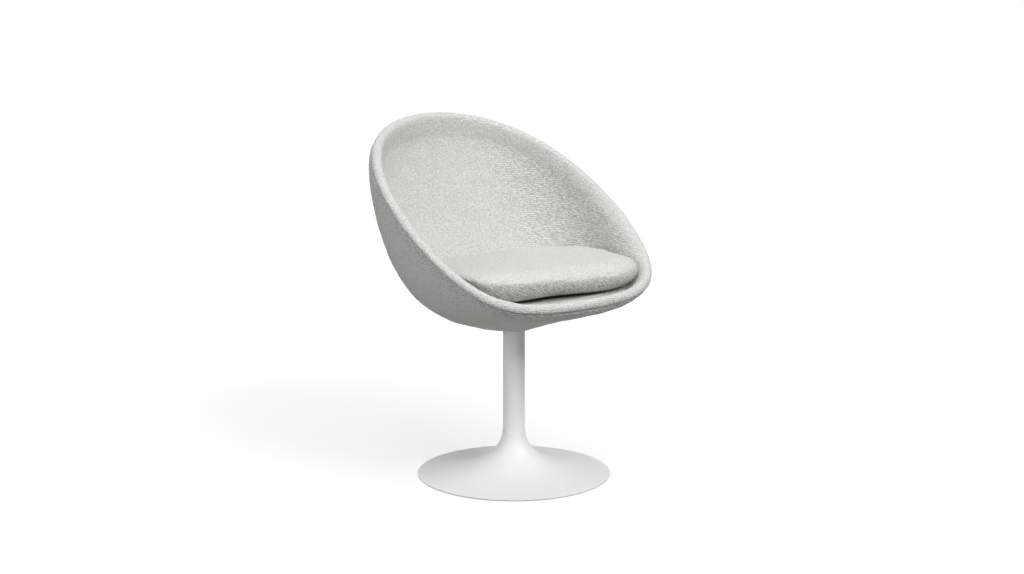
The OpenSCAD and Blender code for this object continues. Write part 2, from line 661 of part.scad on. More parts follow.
trumpet_foot();
floor_ring();
ballast_disc();
column_tube();
foot_plug();
pedestal_bolt();
bolt_washer();
bolt_spring_washer();
upper_bush();
lower_bush();
thrust_washer();
swivel_spindle();
retaining_washer();
retaining_bolt();
seat_plate();
plate_bolts();
plate_washers();
tee_nuts();
seat_board();
neck_ring();
structural_shell();
outer_foam();
inner_foam();
deck_foam();
rim_foam();
inner_cover();
outer_cover();
seam_tape();
deck_lining();
deck_pads();
cushion_core();
cushion_wrap();
cushion_cover_top();
cushion_cover_base();
cushion_zip();
cushion_pads();
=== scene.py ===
# %% [markdown]
# # Pedestal swivel armchair
# A small tub armchair: an egg-shaped padded shell in a looped wool weave, a loose seat cushion,
# a slim column and a trumpet foot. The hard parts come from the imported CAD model, at their real
# place and size. This lesson gives the chair its cloth, its paint and its light.

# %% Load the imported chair
import json
import math

import bmesh
import bpy
import numpy as np
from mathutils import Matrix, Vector


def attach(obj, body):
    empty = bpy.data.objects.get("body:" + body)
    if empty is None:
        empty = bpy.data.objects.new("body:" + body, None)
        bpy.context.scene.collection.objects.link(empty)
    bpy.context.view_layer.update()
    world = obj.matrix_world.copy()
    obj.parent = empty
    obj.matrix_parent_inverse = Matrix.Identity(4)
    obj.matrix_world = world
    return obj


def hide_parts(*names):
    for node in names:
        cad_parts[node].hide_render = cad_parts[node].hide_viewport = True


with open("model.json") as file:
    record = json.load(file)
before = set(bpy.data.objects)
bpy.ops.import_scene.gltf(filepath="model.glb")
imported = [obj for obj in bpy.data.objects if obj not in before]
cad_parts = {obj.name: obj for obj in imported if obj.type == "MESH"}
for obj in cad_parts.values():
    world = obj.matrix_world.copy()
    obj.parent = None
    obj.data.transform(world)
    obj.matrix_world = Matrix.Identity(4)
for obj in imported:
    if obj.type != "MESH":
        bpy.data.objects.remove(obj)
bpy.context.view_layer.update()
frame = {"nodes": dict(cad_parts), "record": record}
bpy.ops.object.select_all(action="DESELECT")

# %% [markdown]
# ## Camera
# The picture was taken from a little above the rim, with the chair turned 38 degrees and a long
# lens, so the tub hardly tapers. The camera is placed first, because each later choice of detail
# depends on how large a millimetre looks: here one pixel is about 2.2 mm at the chair.

# %% Camera
MM = 0.001
LENS, LENS_SHIFT = 71.57, -0.001875
CAMERA_AT = (-2.7705, -3.5460, 1.3377)
CAMERA_DOWN, CAMERA_TURN = math.radians(11.335), math.radians(-38)
camera_data = bpy.data.cameras.new("camera")
camera = bpy.data.objects.new("camera", camera_data)
bpy.context.scene.collection.objects.link(camera)
camera_data.sensor_width = 36
camera_data.lens = LENS
camera_data.shift_x = LENS_SHIFT
camera.location = CAMERA_AT
camera.rotation_euler = (math.pi / 2 - CAMERA_DOWN, 0, CAMERA_TURN)
bpy.context.scene.camera = camera
print("camera", tuple(camera.location))

# %% [markdown]
# ## The tub's form in numbers
# The CAD model draws the tub as meridians: curves in half planes through the column's axis, at an
# angle t round the rim that is 0 at the front. The cloth is drawn from the same numbers, with far
# more points, so it lies exactly on the padding that the CAD model places.

# %% Sizes of the tub, in millimetres
RIM_HALF_WIDTH, RIM_FRONT, RIM_SIDE, RIM_BACK = 282, 249, 46, 328
RIM_RISES = (94, 224, 447)
RIM_SQUARE, RIM_EGG, RIM_DEPTH_THIRD, RIM_RISE_THIRD = 0.0322, -0.0556, 0.02, 0.04
ROLL_R = 13
LEANS = (44, 26.5, -42)
NECK_R, NECK_Z = 36, 340
SLOPES = (21, 2)
OUTER_RIM_HANDLE, OUTER_NECK_HANDLE = (51, 48, 101), (189, 308, 172)
INNER_RIM_HANDLE, INNER_DECK_HANDLE = (12, 88, 45), (20, 75, 80)
DECK_REACH = (195.36, 203.22, 126.0)
DECK_Z = 437.1
COVER_T = 2
print("rim (mm):", 2 * RIM_HALF_WIDTH, "wide and", RIM_FRONT + RIM_BACK, "deep")


# %% The rim
def around(values, t):
    """Goes smoothly round the tub through a front, a side and a back value."""
    front, side, back = values
    return ((front + 2 * side + back) / 4 + (front - back) / 2 * np.cos(t)
            + (front - 2 * side + back) / 4 * np.cos(2 * t))


def rim_xy(t):
    """The rim's centre line seen from above."""
    third = RIM_DEPTH_THIRD * (RIM_FRONT + RIM_BACK) / 2
    x = RIM_HALF_WIDTH * (np.sin(t) * (1 + RIM_SQUARE) + RIM_EGG * np.sin(2 * t)
                          + RIM_SQUARE * np.sin(3 * t))
    y = around((-RIM_FRONT - third, -RIM_SIDE, RIM_BACK + third), t) + third * np.cos(3 * t)
    return x, y


def rim_centre(t):
    """The rim's centre line as a distance from the axis and a height."""
    third = RIM_RISE_THIRD * (RIM_RISES[2] - RIM_RISES[0]) / 2
    z = (NECK_Z + around((RIM_RISES[0] - third, RIM_RISES[1], RIM_RISES[2] + third), t)
         + third * np.cos(3 * t))
    return np.stack([np.hypot(*rim_xy(t)), z], -1)


def rim_frame(t):
    """Unit vectors out of the roll and down the wall below it."""
    lean = np.radians(around(LEANS, t))
    return (np.stack([np.cos(lean), -np.sin(lean)], -1),
            np.stack([-np.sin(lean), -np.cos(lean)], -1))


front_to_back = rim_centre(np.array([0, math.pi / 2, math.pi]))
print("rim at front, side, back (mm):", front_to_back.round(1).tolist())

# %% [markdown]
# ## The walls
# From the rim's roll one curve runs down the outside to the neck, and one down the inside to the
# deck. Each is a cubic with two handles, as in a drawing program, and the handles change smoothly
# round the tub.


# %% The walls
def outer_curve(t):
    """Control points of the wall's outside, from the seam under the rim to the neck."""
    out, down = rim_frame(t)
    slope = np.radians((SLOPES[0] + SLOPES[1]) / 2 + (SLOPES[0] - SLOPES[1]) / 2 * np.cos(t))
    start = rim_centre(t) + ROLL_R * out
    neck = np.zeros_like(start) + (NECK_R, NECK_Z)
    return [start, start + around(OUTER_RIM_HANDLE, t)[:, None] * down,
            neck + around(OUTER_NECK_HANDLE, t)[:, None]
            * np.stack([np.cos(slope), np.sin(slope)], -1), neck]


def inner_curve(t):
    """Control points of the wall's inside, from the rim's roll to the edge of the deck."""
    out, down = rim_frame(t)
    start = rim_centre(t) - ROLL_R * out
    reach, flat = around(DECK_REACH, t), np.full_like(t, DECK_Z)
    return [start, start + around(INNER_RIM_HANDLE, t)[:, None] * down,
            np.stack([reach + around(INNER_DECK_HANDLE, t), flat], -1),
            np.stack([reach, flat], -1)]


def on_curve(c, s):
    """Points of the curves at shares s, with one row for each share."""
    s = np.asarray(s)[..., None]
    return ((1 - s) ** 3 * c[0] + 3 * (1 - s) ** 2 * s * c[1]
            + 3 * (1 - s) * s * s * c[2] + s ** 3 * c[3])


def curve_side(c, s):
    """Unit vectors at right angles to the curves, which point away from the padding."""
    s = np.asarray(s)[..., None]
    v = ((1 - s) ** 2 * (c[1] - c[0]) + 2 * (1 - s) * s * (c[2] - c[1])
         + s * s * (c[3] - c[2]))
    v /= np.linalg.norm(v, axis=-1, keepdims=True)
    return np.stack([-v[..., 1], v[..., 0]], -1)


def in_space(t, section):
    """Turns points (distance from the axis, height) of the meridian t into points in space."""
    x, y = rim_xy(t)
    a = np.arctan2(x, -y)
    return np.stack([section[..., 0] * np.sin(a), -section[..., 0] * np.cos(a),
                     section[..., 1] + 0 * a], -1) * MM


print("neck (mm):", on_curve(outer_curve(np.zeros(1)), 1).tolist())

# %% [markdown]
# ## Cloth that lies on padding
# Real upholstery is never quite even: the foam has soft lumps, and the cloth dips where a seam
# pulls it down. Both are modelled in the mesh, because they change how light runs over the form.
# The weave itself is much finer, and comes later, in the material.

# %% Soft lumps
rng = np.random.default_rng(31)
BROAD_WAVES, FINE_WAVES = (26, 70), (11, 20)
BROAD_DEPTH, FINE_DEPTH = 0.3, 0.12
FOLD_IN = 1.2


def lumps(points, low, high, count=28):
    """A smooth random unevenness, about -1 to 1, with wavelengths from low to high in mm."""
    total = np.zeros(points.shape[:-1])
    for _ in range(count):
        way = rng.normal(size=3)
        way /= np.linalg.norm(way)
        wave = rng.uniform(low, high) * MM
        total += np.sin(points @ way * (2 * math.pi / wave) + rng.uniform(0, 2 * math.pi))
    return total / math.sqrt(count / 2)


print("lumps at the origin:", lumps(np.zeros((1, 3)), 20, 40).round(2).tolist())


# %% Where the rows of the weave show, and the painted shade in their gaps
def eased(share):
    """Runs softly from 0 to 1 as the share does."""
    share = np.clip(share, 0, 1)
    return share * share * (3 - 2 * share)


def mark_ribs_and_shade(piece, values):
    """Stores how strongly the rows of the weave show at a piece's first points, with painted shade
    in the gaps between loops and a painted highlight on the crests. The cloth's material reads it."""
    layer = piece.data.attributes.new("ribbed_and_shaded", "FLOAT", "POINT")
    spread = np.zeros(len(piece.data.vertices))
    spread[:np.size(values)] = np.ravel(values)
    layer.data.foreach_set("value", spread)


print("eased from 0 to 1:", eased(np.linspace(0, 1, 5)).round(2).tolist())

# %% [markdown]
# ## A mesh from rings
# Each cover is a stack of rings of points, joined by faces. The hidden back of the cloth needs
# fewer points, so a ring may have a quarter of its neighbour's. The rows are close where the cloth
# bends, beside a seam, and wide on the open wall.


# %% A skin over rings
def face_outwards(piece):
    """Turns a closed mesh the right way round and shades it smooth."""
    bm = bmesh.new()
    bm.from_mesh(piece.data)
    if bm.calc_volume(signed=True) < 0:
        bmesh.ops.reverse_faces(bm, faces=bm.faces)
    for face in bm.faces:
        face.smooth = True
    bm.to_mesh(piece.data)
    bm.free()


def skin(name, rings, closed=True):
    """Joins rings of points into a closed mesh. A ring may have a quarter of the points of its
    neighbour, and an open stack ends in a flat face at each end."""
    starts, total, faces = [], 0, []
    for ring in rings:
        starts.append(total)
        total += len(ring)
    for j in range(len(rings) if closed else len(rings) - 1):
        k = (j + 1) % len(rings)
        a, b, n, m = starts[j], starts[k], len(rings[j]), len(rings[k])
        if n == m:
            faces += [(a + i, a + (i + 1) % n, b + (i + 1) % n, b + i) for i in range(n)]
            continue
        fine, coarse, few, flip = (a, b, m, False) if n > m else (b, a, n, True)
        for i in range(few):
            f = [fine + (4 * i + q) % (4 * few) for q in range(5)]
            h, g = coarse + i, coarse + (i + 1) % few
            fan = [(f[0], f[1], h), (f[1], f[2], h), (f[2], g, h), (f[2], f[3], g),
                   (f[3], f[4], g)]
            faces += [face[::-1] for face in fan] if flip else fan
    if not closed:
        faces += [tuple(range(len(rings[0])))[::-1],
                  tuple(starts[-1] + i for i in range(len(rings[-1])))]
    mesh = bpy.data.meshes.new(name)
    mesh.from_pydata(np.concatenate(rings).tolist(), [], faces)
    piece = bpy.data.objects.new(name, mesh)
    bpy.context.scene.collection.objects.link(piece)
    face_outwards(piece)
    return piece


# %% Rows by length
def rows_by_length(c, near, rest):
    """Shares along the curves, one row for each distance from their start in mm, then rest more
    rows in even steps to their end."""
    s = np.linspace(0, 1, 400)
    path = on_curve(c, s[:, None])
    length = np.concatenate([np.zeros((1, path.shape[1])),
                             np.cumsum(np.linalg.norm(np.diff(path, axis=0), axis=-1), 0)])
    steps = [np.full(path.shape[1], float(d)) for d in near]
    steps += [near[-1] + (length[-1] - near[-1]) * k / rest for k in range(1, rest + 1)]
    shares = [[np.interp(row[i], length[:, i], s) for i in range(path.shape[1])] for row in steps]
    return np.array(shares), np.array(steps)


print("even rows (mm):", rows_by_length(outer_curve(np.zeros(1)), [0], 4)[1].round(1).tolist())

# %% [markdown]
# ## Outer cover
# The outside of the tub is one piece of cloth, drawn down from the rim seam and gathered to the
# small neck. Against the seam it turns under in a groove about three millimetres deep, and the
# stitches pull small puckers into the first centimetre. It could be a subdivided cage, but a grid
# drawn from the tub's own curves keeps the egg shape exact.

# %% Outer cover
AROUND, OUTER_ROWS = 560, 96
SEAM_DEPTH, SEAM_REACH, PUCKER_DEPTH, PUCKER_REACH = 3.4, 4.5, 0.8, 10
STITCH, STITCH_FINE = 8.6, 5.3
SEAM_FADE, NECK_FADE = 6, 12
SEAM_RIBS_AND_SHADE_REACH = 22
angles = np.arange(AROUND) * 2 * math.pi / AROUND
outer = outer_curve(angles)
near_seam = [0.3, 1, 1.8, 2.7, 3.8, 5, 6.5, 8.2, 10, 12.5, 15.5, 19, 23, 27.5]
shares, distance = rows_by_length(outer, near_seam, OUTER_ROWS)
visible = on_curve(outer, shares)
outwards = curve_side(outer, shares)
surface = in_space(angles, visible)
rim_length = np.cumsum(np.linalg.norm(np.roll(surface[0], -1, 0) - surface[0], axis=-1)) / MM
pucker = (np.sin(rim_length * 2 * math.pi / STITCH + 1.3 * np.sin(rim_length / 31))
          + 0.6 * np.sin(rim_length * 2 * math.pi / STITCH_FINE + 2 * np.sin(rim_length / 17)))
seam_pull = -SEAM_DEPTH * np.exp(-(distance / SEAM_REACH) ** 2)
edge = (np.clip(distance / SEAM_FADE, 0, 1)
        * np.clip((distance[-1] - distance) / NECK_FADE, 0, 1))
puckered = PUCKER_DEPTH * pucker * np.exp(-distance / PUCKER_REACH) * np.clip(distance / 3, 0, 1)
relief = (seam_pull + puckered + BROAD_DEPTH * edge * lumps(surface, *BROAD_WAVES)
          + FINE_DEPTH * edge * lumps(surface, *FINE_WAVES))
visible = visible + relief[..., None] * outwards
print("relief (mm):", round(float(relief.min()), 1), "to", round(float(relief.max()), 1))

# %% Outer cover's back and fold
NECK_BORE_R = 27.5
NECK_FOLD = ((35.2, 339.95), (33.6, 339.9), (30.5, 339.9), (28.2, 340.1), (27.6, 340.9))
coarse = slice(None, None, 4)
back_rows = [0, 4, 8, 12, 16, 22, 28, 36, 44, 52, 60, 70, 80, 90, 100, 109]
few, back = [c[coarse] for c in outer], shares[back_rows][:, coarse]
hidden = on_curve(few, back) - COVER_T * curve_side(few, back)
hidden[0] = visible[0][coarse] - FOLD_IN * outwards[0][coarse]
neck_fold = [np.zeros_like(visible[0]) + point for point in NECK_FOLD]
hidden[-1] = (34.6, NECK_Z + COVER_T)
rings = ([in_space(angles, row) for row in [*visible, *neck_fold]]
         + [in_space(angles[coarse], np.zeros_like(hidden[0]) + (NECK_BORE_R, NECK_Z + COVER_T))]
         + [in_space(angles[coarse], row) for row in hidden[::-1]])
outer_cover = skin("tub_outer_cover", rings)
# Within about 22 mm of the seam under the roll the rows show, with painted shade in the gaps
# between loops.
mark_ribs_and_shade(outer_cover, np.exp(-(distance / SEAM_RIBS_AND_SHADE_REACH) ** 2))
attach(outer_cover, "seat")
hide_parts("outer_cover")
print("outer cover faces:", len(outer_cover.data.polygons))

# %% [markdown]
# ## Inner cover
# A second piece of cloth goes round the padded roll of the rim and down the inside of the tub to
# the deck under the cushion. On the real chair it is sewn to the outer cover along the outside of
# the roll, by hand, with the stitches hidden in the groove. The wadding fills the crease between
# the roll and the wall, so the cloth runs over it in one easy sweep. That sweep is a cubic curve
# that leaves the roll and meets the wall along their own lines.

# %% Inner cover's profile
INNER_ROWS = 92
ROLL_GROOVE, ROLL_GROOVE_REACH, ROLL_PUCKER = 2.8, 3.0, 0.4
SWEEP_START, SWEEP_ROWS, SWEEP_PULL = 15, 9, 0.7


def bridged(rows, first, last):
    """The profile rows with those from first to last replaced by one smooth curve."""
    start, end = rows[first], rows[last]
    span = np.linalg.norm(end - start, axis=-1, keepdims=True)
    leave, meet = rows[first + 1] - rows[first - 1], rows[last + 1] - rows[last - 1]
    leave = leave / np.linalg.norm(leave, axis=-1, keepdims=True) * span * SWEEP_PULL
    meet = meet / np.linalg.norm(meet, axis=-1, keepdims=True) * span * SWEEP_PULL
    rows = rows.copy()
    for j in range(first + 1, last):
        s = (j - first) / (last - first)
        rows[j] = ((2 * s ** 3 - 3 * s ** 2 + 1) * start + (s ** 3 - 2 * s ** 2 + s) * leave
                   + (3 * s ** 2 - 2 * s ** 3) * end + (s ** 3 - s ** 2) * meet)
    return rows


out, down = rim_frame(angles)
centre = rim_centre(angles)
turns = np.radians([0, 3, 7, 12, 18, 25, 33, 42, 52, 62, 72, 82, 92, 102, 112, 122, 132, 142, 152,
                    162, 171])
roll_distance = turns * ROLL_R
roll_r = [ROLL_R - ROLL_GROOVE * math.exp(-(d / ROLL_GROOVE_REACH) ** 2) for d in roll_distance]
roll = [centre + r * (math.cos(a) * out - math.sin(a) * down) for a, r in zip(turns, roll_r)]
inner = inner_curve(angles)
shares, distance = rows_by_length(inner, [0], INNER_ROWS)
wall = on_curve(inner, shares)
visible = bridged(np.concatenate([np.array(roll), wall]), SWEEP_START, len(turns) + SWEEP_ROWS)
surface = in_space(angles, visible)
print("inner cover rows:", len(surface))

# %% Inner cover's relief
DECK_FADE = 14
PROUD_SHARES = (0, 0.07, 0.2, 0.35, 0.5, 0.65, 0.85, 1)
PROUD_BY = (0.1, 0.8, 0.6, 0.2, 0.3, 0.6, 1.1, 1.3)
down_the_wall = np.gradient(surface, axis=0)
normals = np.cross(np.roll(surface, -1, 1) - np.roll(surface, 1, 1), down_the_wall)
normals /= np.linalg.norm(normals, axis=-1, keepdims=True)
fade = np.concatenate([np.clip((roll_distance - 3) / 9, 0, 1)[:, None] * np.ones(AROUND),
                       np.ones(wall.shape[:2])])
from_top = np.concatenate([np.zeros((len(turns), AROUND)), distance])
fade *= np.clip((distance[-1] - from_top) / DECK_FADE, 0, 1)
pull = np.concatenate([np.exp(-roll_distance / 6) * np.clip(roll_distance / 3, 0, 1),
                       np.zeros(len(wall))])[:, None]
proud = np.interp(shares, PROUD_SHARES, PROUD_BY)
relief = (BROAD_DEPTH * fade * lumps(surface, *BROAD_WAVES)
          + FINE_DEPTH * fade * lumps(surface, *FINE_WAVES)
          + ROLL_PUCKER * pull * pucker + np.concatenate([np.zeros((len(turns), AROUND)), proud]))
surface = surface + relief[..., None] * MM * normals
print("relief (mm):", round(float(relief.min()), 1), "to", round(float(relief.max()), 1))

# %% Inner cover's back and its rows
WALL_RIBS_AND_SHADE_FROM, WALL_RIBS_AND_SHADE_FADE = 0.06, 0.19
back_rows = [0, 6, 12, 16, 20, 23, 27, 33, 40, 48, 56, 64, 72, 80, 88, 96, 104, 112]
inside = [(row - COVER_T * MM * n)[coarse] for row, n in
          zip(in_space(angles, visible)[back_rows], normals[back_rows])]
inside[0] = (surface[0] - FOLD_IN * MM * normals[0])[coarse]
inner_cover = skin("tub_inner_cover", list(surface) + inside[::-1])
# The rows show, with painted shade in the gaps between loops, on the tub's right-hand wall, on the
# roll beside the seam and round the front of the roll.
ribs_and_shade = eased((surface[..., 0] - WALL_RIBS_AND_SHADE_FROM) / WALL_RIBS_AND_SHADE_FADE)
ribs_and_shade *= np.clip((np.arange(len(surface)) - len(turns) - 2) / SWEEP_ROWS, 0, 1)[:, None]
at_front = eased((np.cos(angles) - 0.35) / 0.4)
ribs_and_shade[:len(turns)] = np.maximum(np.exp(-roll_distance / 4)[:, None],
                               np.exp(-(roll_distance / 17) ** 2)[:, None] * at_front)
mark_ribs_and_shade(inner_cover, ribs_and_shade)
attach(inner_cover, "seat")
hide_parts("inner_cover")
print("inner cover faces:", len(inner_cover.data.polygons))

# %% [markdown]
# ## Deck lining
# Under the cushion lies a flat sheet of grey lining cloth, glued to the foam, with an eyelet hole
# that lets air out when someone sits down. It is drawn in rings, because two of the rings sink a
# little and so make the line of stitches round its edge.

# %% Deck lining
VENT_R, DECK_STEPS, DECK_GAP, STITCH_SINK = 15, 192, 0.3, 0.35
DECK_SOFT, DECK_SINK = 0.12, 0.15
steps = np.arange(DECK_STEPS) * 2 * math.pi / DECK_STEPS
reach = around(DECK_REACH, steps) - DECK_GAP
shares_in = [1, 0.99, 0.975, 0.96, 0.95, 0.94, 0.9, 0.8, 0.7, 0.6, 0.5, 0.4, 0.3, 0.2, 0.1, 0.03, 0]


def deck_ring(share, z):
    """One ring of the deck lining: share 1 is its edge and share 0 the vent."""
    r = VENT_R + share * (reach - VENT_R)
    return in_space(steps, np.stack([r, np.full_like(r, z)], -1))


top = [deck_ring(k, DECK_Z - (STITCH_SINK if k in (0.96, 0.95) else 0)) for k in shares_in]
for ring, k in zip(top, shares_in):
    ring[:, 2] += (DECK_SOFT * MM * lumps(ring, 30, 80) * (0.05 < k < 0.9)
                   - DECK_SINK * MM * (k < 0.9))
under = [deck_ring(k, DECK_Z - COVER_T) for k in (0, 0.25, 0.5, 0.75, 1)]
deck_lining = skin("deck_lining_cloth", top + under)
edge = top[0]
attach(deck_lining, "seat")
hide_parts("deck_lining")

# %% [markdown]
# ## Touch fasteners
# Two strips of hook-and-loop tape are sewn on the lining, and their partners on the cushion, so the
# cushion stays in place but comes off for cleaning. Each strip is a plane with rounded corners. It
# gets its row of stitching from insets that step down and up again, and then its thickness.

# %% Helpers for editing
def choose(piece):
    """Makes a piece the active one and the only one selected."""
    bpy.ops.object.select_all(action="DESELECT")
    piece.select_set(True)
    bpy.context.view_layer.objects.active = piece


def settle(piece):
    """Moves a piece's place into its mesh."""
    choose(piece)
    bpy.ops.object.transform_apply(location=True, rotation=True, scale=True)


def edit_all():
    """Opens the active piece in edit mode with all of it selected."""
    bpy.ops.object.mode_set(mode="EDIT")
    bpy.ops.mesh.select_all(action="SELECT")


def apply_modifier(piece, kind, **settings):
    """Adds a modifier with its settings and applies it."""
    choose(piece)
    modifier = piece.modifiers.new(kind.lower(), kind)
    for key, value in settings.items():
        setattr(modifier, key, value)
    bpy.ops.object.modifier_apply(modifier=modifier.name)


# %% Touch fasteners
PAD_T, PAD_W, PAD_L, PAD_SPACING, PAD_FORWARD, PAD_CORNER_R = 1.2, 30, 140, 180, 20, 4
PAD_EDGE, PAD_CLEAR, SMOOTH_ANGLE = 0.15, 0.3, math.radians(40)
PAD_STEPS = ((0.3, PAD_EDGE), (1.9, 0), (0.35, -0.3), (0.5, 0), (0.35, 0.3))
CUSHION_Z = DECK_Z + 2 * PAD_T + PAD_CLEAR


def touch_strips(name, z, way):
    """A pair of sewn strips whose outer faces look up (way 1) or down (way -1)."""
    bpy.ops.object.select_all(action="DESELECT")
    bpy.ops.mesh.primitive_plane_add(
        size=1, location=(-PAD_SPACING / 2 * MM, -PAD_FORWARD * MM, z * MM))
    strip = bpy.context.object
    strip.name = name
    strip.scale = (PAD_W * MM, PAD_L * MM, 1)
    settle(strip)
    edit_all()
    bpy.ops.mesh.bevel(offset=PAD_CORNER_R * MM, segments=6, affect="VERTICES")
    bpy.ops.mesh.select_all(action="SELECT")
    for width, sink in PAD_STEPS:
        bpy.ops.mesh.inset(thickness=width * MM)
        bpy.ops.transform.translate(value=(0, 0, way * sink * MM))
    bpy.ops.object.mode_set(mode="OBJECT")
    apply_modifier(strip, "SOLIDIFY", thickness=(PAD_T - PAD_EDGE) * MM, offset=-way)
    partner = strip.copy()
    partner.data = strip.data.copy()
    bpy.context.scene.collection.objects.link(partner)
    partner.location.x += PAD_SPACING * MM
    partner.select_set(True)
    bpy.ops.object.join()
    settle(strip)
    edit_all()
    bpy.ops.mesh.normals_make_consistent(inside=False)
    bpy.ops.object.mode_set(mode="OBJECT")
    bpy.ops.object.shade_smooth_by_angle(angle=SMOOTH_ANGLE)
    return strip


deck_strips = touch_strips("deck_touch_strips", DECK_Z + PAD_T - PAD_EDGE, 1)
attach(deck_strips, "seat")
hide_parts("deck_pads")
cushion_strips = touch_strips("cushion_touch_strips", CUSHION_Z - PAD_T + PAD_EDGE, -1)
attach(cushion_strips, "cushion")
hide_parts("cushion_pads")
for piece in (deck_strips, cushion_strips):
    heights = [corner.co.z / MM for corner in piece.data.vertices]
    print(piece.name, "from", round(min(heights), 2), "to", round(max(heights), 2), "mm")

# %% [markdown]
# ## Seat cushion
# The cushion fills the tub from wall to wall, but for a gap at the front that is widest on the
# left, where its edge stands up against the rim. It has a nearly flat crown that turns over a full
# round edge at the front, and a flat base. Its rings are worked out from the tub's wall, so they
# can't run into it. A table of the wall's distance makes that quick.

# %% The tub's wall as a table
table_t = np.linspace(0, 2 * math.pi, 721)
table_z = np.arange(436.0, 640.0, 1.0)
table_curve = inner_curve(table_t)
fine = on_curve(table_curve, np.linspace(0, 1, 500)[:, None])
wall_table = np.array([np.interp(table_z, fine[::-1, i, 1], fine[::-1, i, 0])
                       for i in range(len(table_t))])
table_azimuth = np.unwrap(np.arctan2(rim_xy(table_t)[0], -rim_xy(table_t)[1]))


def wall_radius(t, z):
    """Distance of the tub's lining from the axis at angle t and height z, in mm."""
    a = np.mod(t, 2 * math.pi) / (2 * math.pi) * (len(table_t) - 1)
    b = np.clip(z - table_z[0], 0, len(table_z) - 1.001)
    i, j = np.minimum(a.astype(int), len(table_t) - 2), b.astype(int)
    u, v = a - i, b - j
    return ((1 - u) * (1 - v) * wall_table[i, j] + u * (1 - v) * wall_table[i + 1, j]
            + (1 - u) * v * wall_table[i, j + 1] + u * v * wall_table[i + 1, j + 1])


print("wall at 480 mm (mm):", wall_radius(np.array([0, math.pi]), 480).round(1).tolist())

# %% Cushion rings
CUSHION_H, CUSHION_SWELLS, SHOULDER_RISES = 60, (34, 42, 34), (-2, 1, -5)
CROWN_EDGES, BASE_EDGES = (80, 14, 65), (72, 45, 52)
LEFT_GAP, LEFT_RISE, LEFT_ANGLE = 23, 11, math.radians(50)
EDGE_END, CUSHION_FALL, SIDE_GAP, FRONT_GAP = 60, math.radians(2), 2.5, 15


def cushion_limit(t, z):
    """How far the cushion may reach, with a wider gap at the front."""
    gap = SIDE_GAP + (FRONT_GAP - SIDE_GAP) * np.maximum(np.cos(t), 0) ** 3
    return wall_radius(t, z) - gap - LEFT_GAP * left_share(t)


def left_share(t):
    """1 at the cushion's front left, where it stands off the rim, and 0 on the other side."""
    return eased(1.2 * np.cos(t + LEFT_ANGLE) - 0.2)


def cushion_ring(t, a, depth):
    """A ring of the cushion at angle a: -90 is the middle of its base, 0 its widest line and 90
    the middle of its crown."""
    swell = around(CUSHION_SWELLS, t) + LEFT_RISE * left_share(t)
    shoulder = around(SHOULDER_RISES, t)
    h = CUSHION_H + shoulder - swell if a > 0 else swell
    edge = around(CROWN_EDGES if a > 0 else BASE_EDGES, t)
    turn = math.radians(90 * min(abs(a) / EDGE_END, 1))
    middle = max(abs(a) - EDGE_END, 0) / (90 - EDGE_END)
    rise = math.copysign(math.sin(turn), a)
    dome = -shoulder * (1 - (1 - middle) ** 2) if a > 0 else 0
    limit = cushion_limit(t, CUSHION_Z + swell)
    r = (limit - depth - edge * (1 - math.cos(turn))) * (1 - middle)
    y = r * rim_xy(t)[1] / np.hypot(*rim_xy(t))
    z = CUSHION_Z + swell + (h - depth) * rise + dome - y * math.tan(CUSHION_FALL) * max(rise, 0)
    limit = cushion_limit(t, np.minimum(z, z + depth * rise)) - depth
    return np.stack([np.minimum(r, limit), z], -1)


print("cushion's front edge (mm):", cushion_ring(np.zeros(1), 0, 0).round(1).tolist())

# %% Cushion mesh
CUSHION_STEPS, START_DEPTH, VOXEL = 240, 0.8, 5
steps = np.arange(CUSHION_STEPS) * 2 * math.pi / CUSHION_STEPS
ring_angles = [-88, -84, -78, -72, -66, -60, -54, -48, -42, -36, -30, -24, -18, -12, -6, 0, 5, 10,
               15, 20, 25, 30, 35, 40, 45, 50, 55, 60, 63, 67, 72, 77, 82, 86]
rings = [in_space(steps, cushion_ring(steps, a, START_DEPTH)) for a in ring_angles]
cushion = skin("seat_cushion", rings, closed=False)


def coordinates(rows, key="co"):
    """The places of a mesh's points, or the centres of its faces, as an array of metres."""
    values = np.zeros(len(rows) * 3)
    rows.foreach_get(key, values)
    return values.reshape(-1, 3)


def place(piece, points):
    """Writes the piece's points back."""
    piece.data.vertices.foreach_set("co", np.asarray(points, float).ravel())
    piece.data.update()


apply_modifier(cushion, "REMESH", mode="VOXEL", voxel_size=VOXEL * MM, use_smooth_shade=True)
print("cushion points:", len(cushion.data.vertices))

# %% [markdown]
# ## Filling the cushion
# Wadding pushes a cushion's cover out. So a short cloth simulation with pressure blows the shape
# up. How far a point may move is capped, and the base stays as it is, so the cushion keeps clear
# of the tub and lies flat on its deck.

# %% Cushion filled by the cloth simulation
SWELL_CAP, CLOTH_FRAMES = 2.5, 20
rest = coordinates(cushion.data.vertices)
cloth = cushion.modifiers.new("cloth", "CLOTH")
cloth.settings.quality = 6
cloth.settings.mass = 0.3
cloth.settings.use_pressure = True
cloth.settings.uniform_pressure_force = 4
cloth.settings.tension_stiffness = 20
cloth.settings.compression_stiffness = 20
cloth.settings.bending_stiffness = 1
cloth.settings.effector_weights.gravity = 0
for number in range(1, CLOTH_FRAMES + 1):
    bpy.context.scene.frame_set(number)
bpy.context.view_layer.objects.active = cushion
bpy.ops.object.modifier_apply(modifier=cloth.name)
bpy.context.scene.frame_set(1)
moved = coordinates(cushion.data.vertices) - rest


def tub_angle(points):
    """The rim angle t of each point."""
    azimuth = np.mod(np.arctan2(points[:, 0], -points[:, 1]), 2 * math.pi)
    return np.interp(azimuth, table_azimuth, table_t)


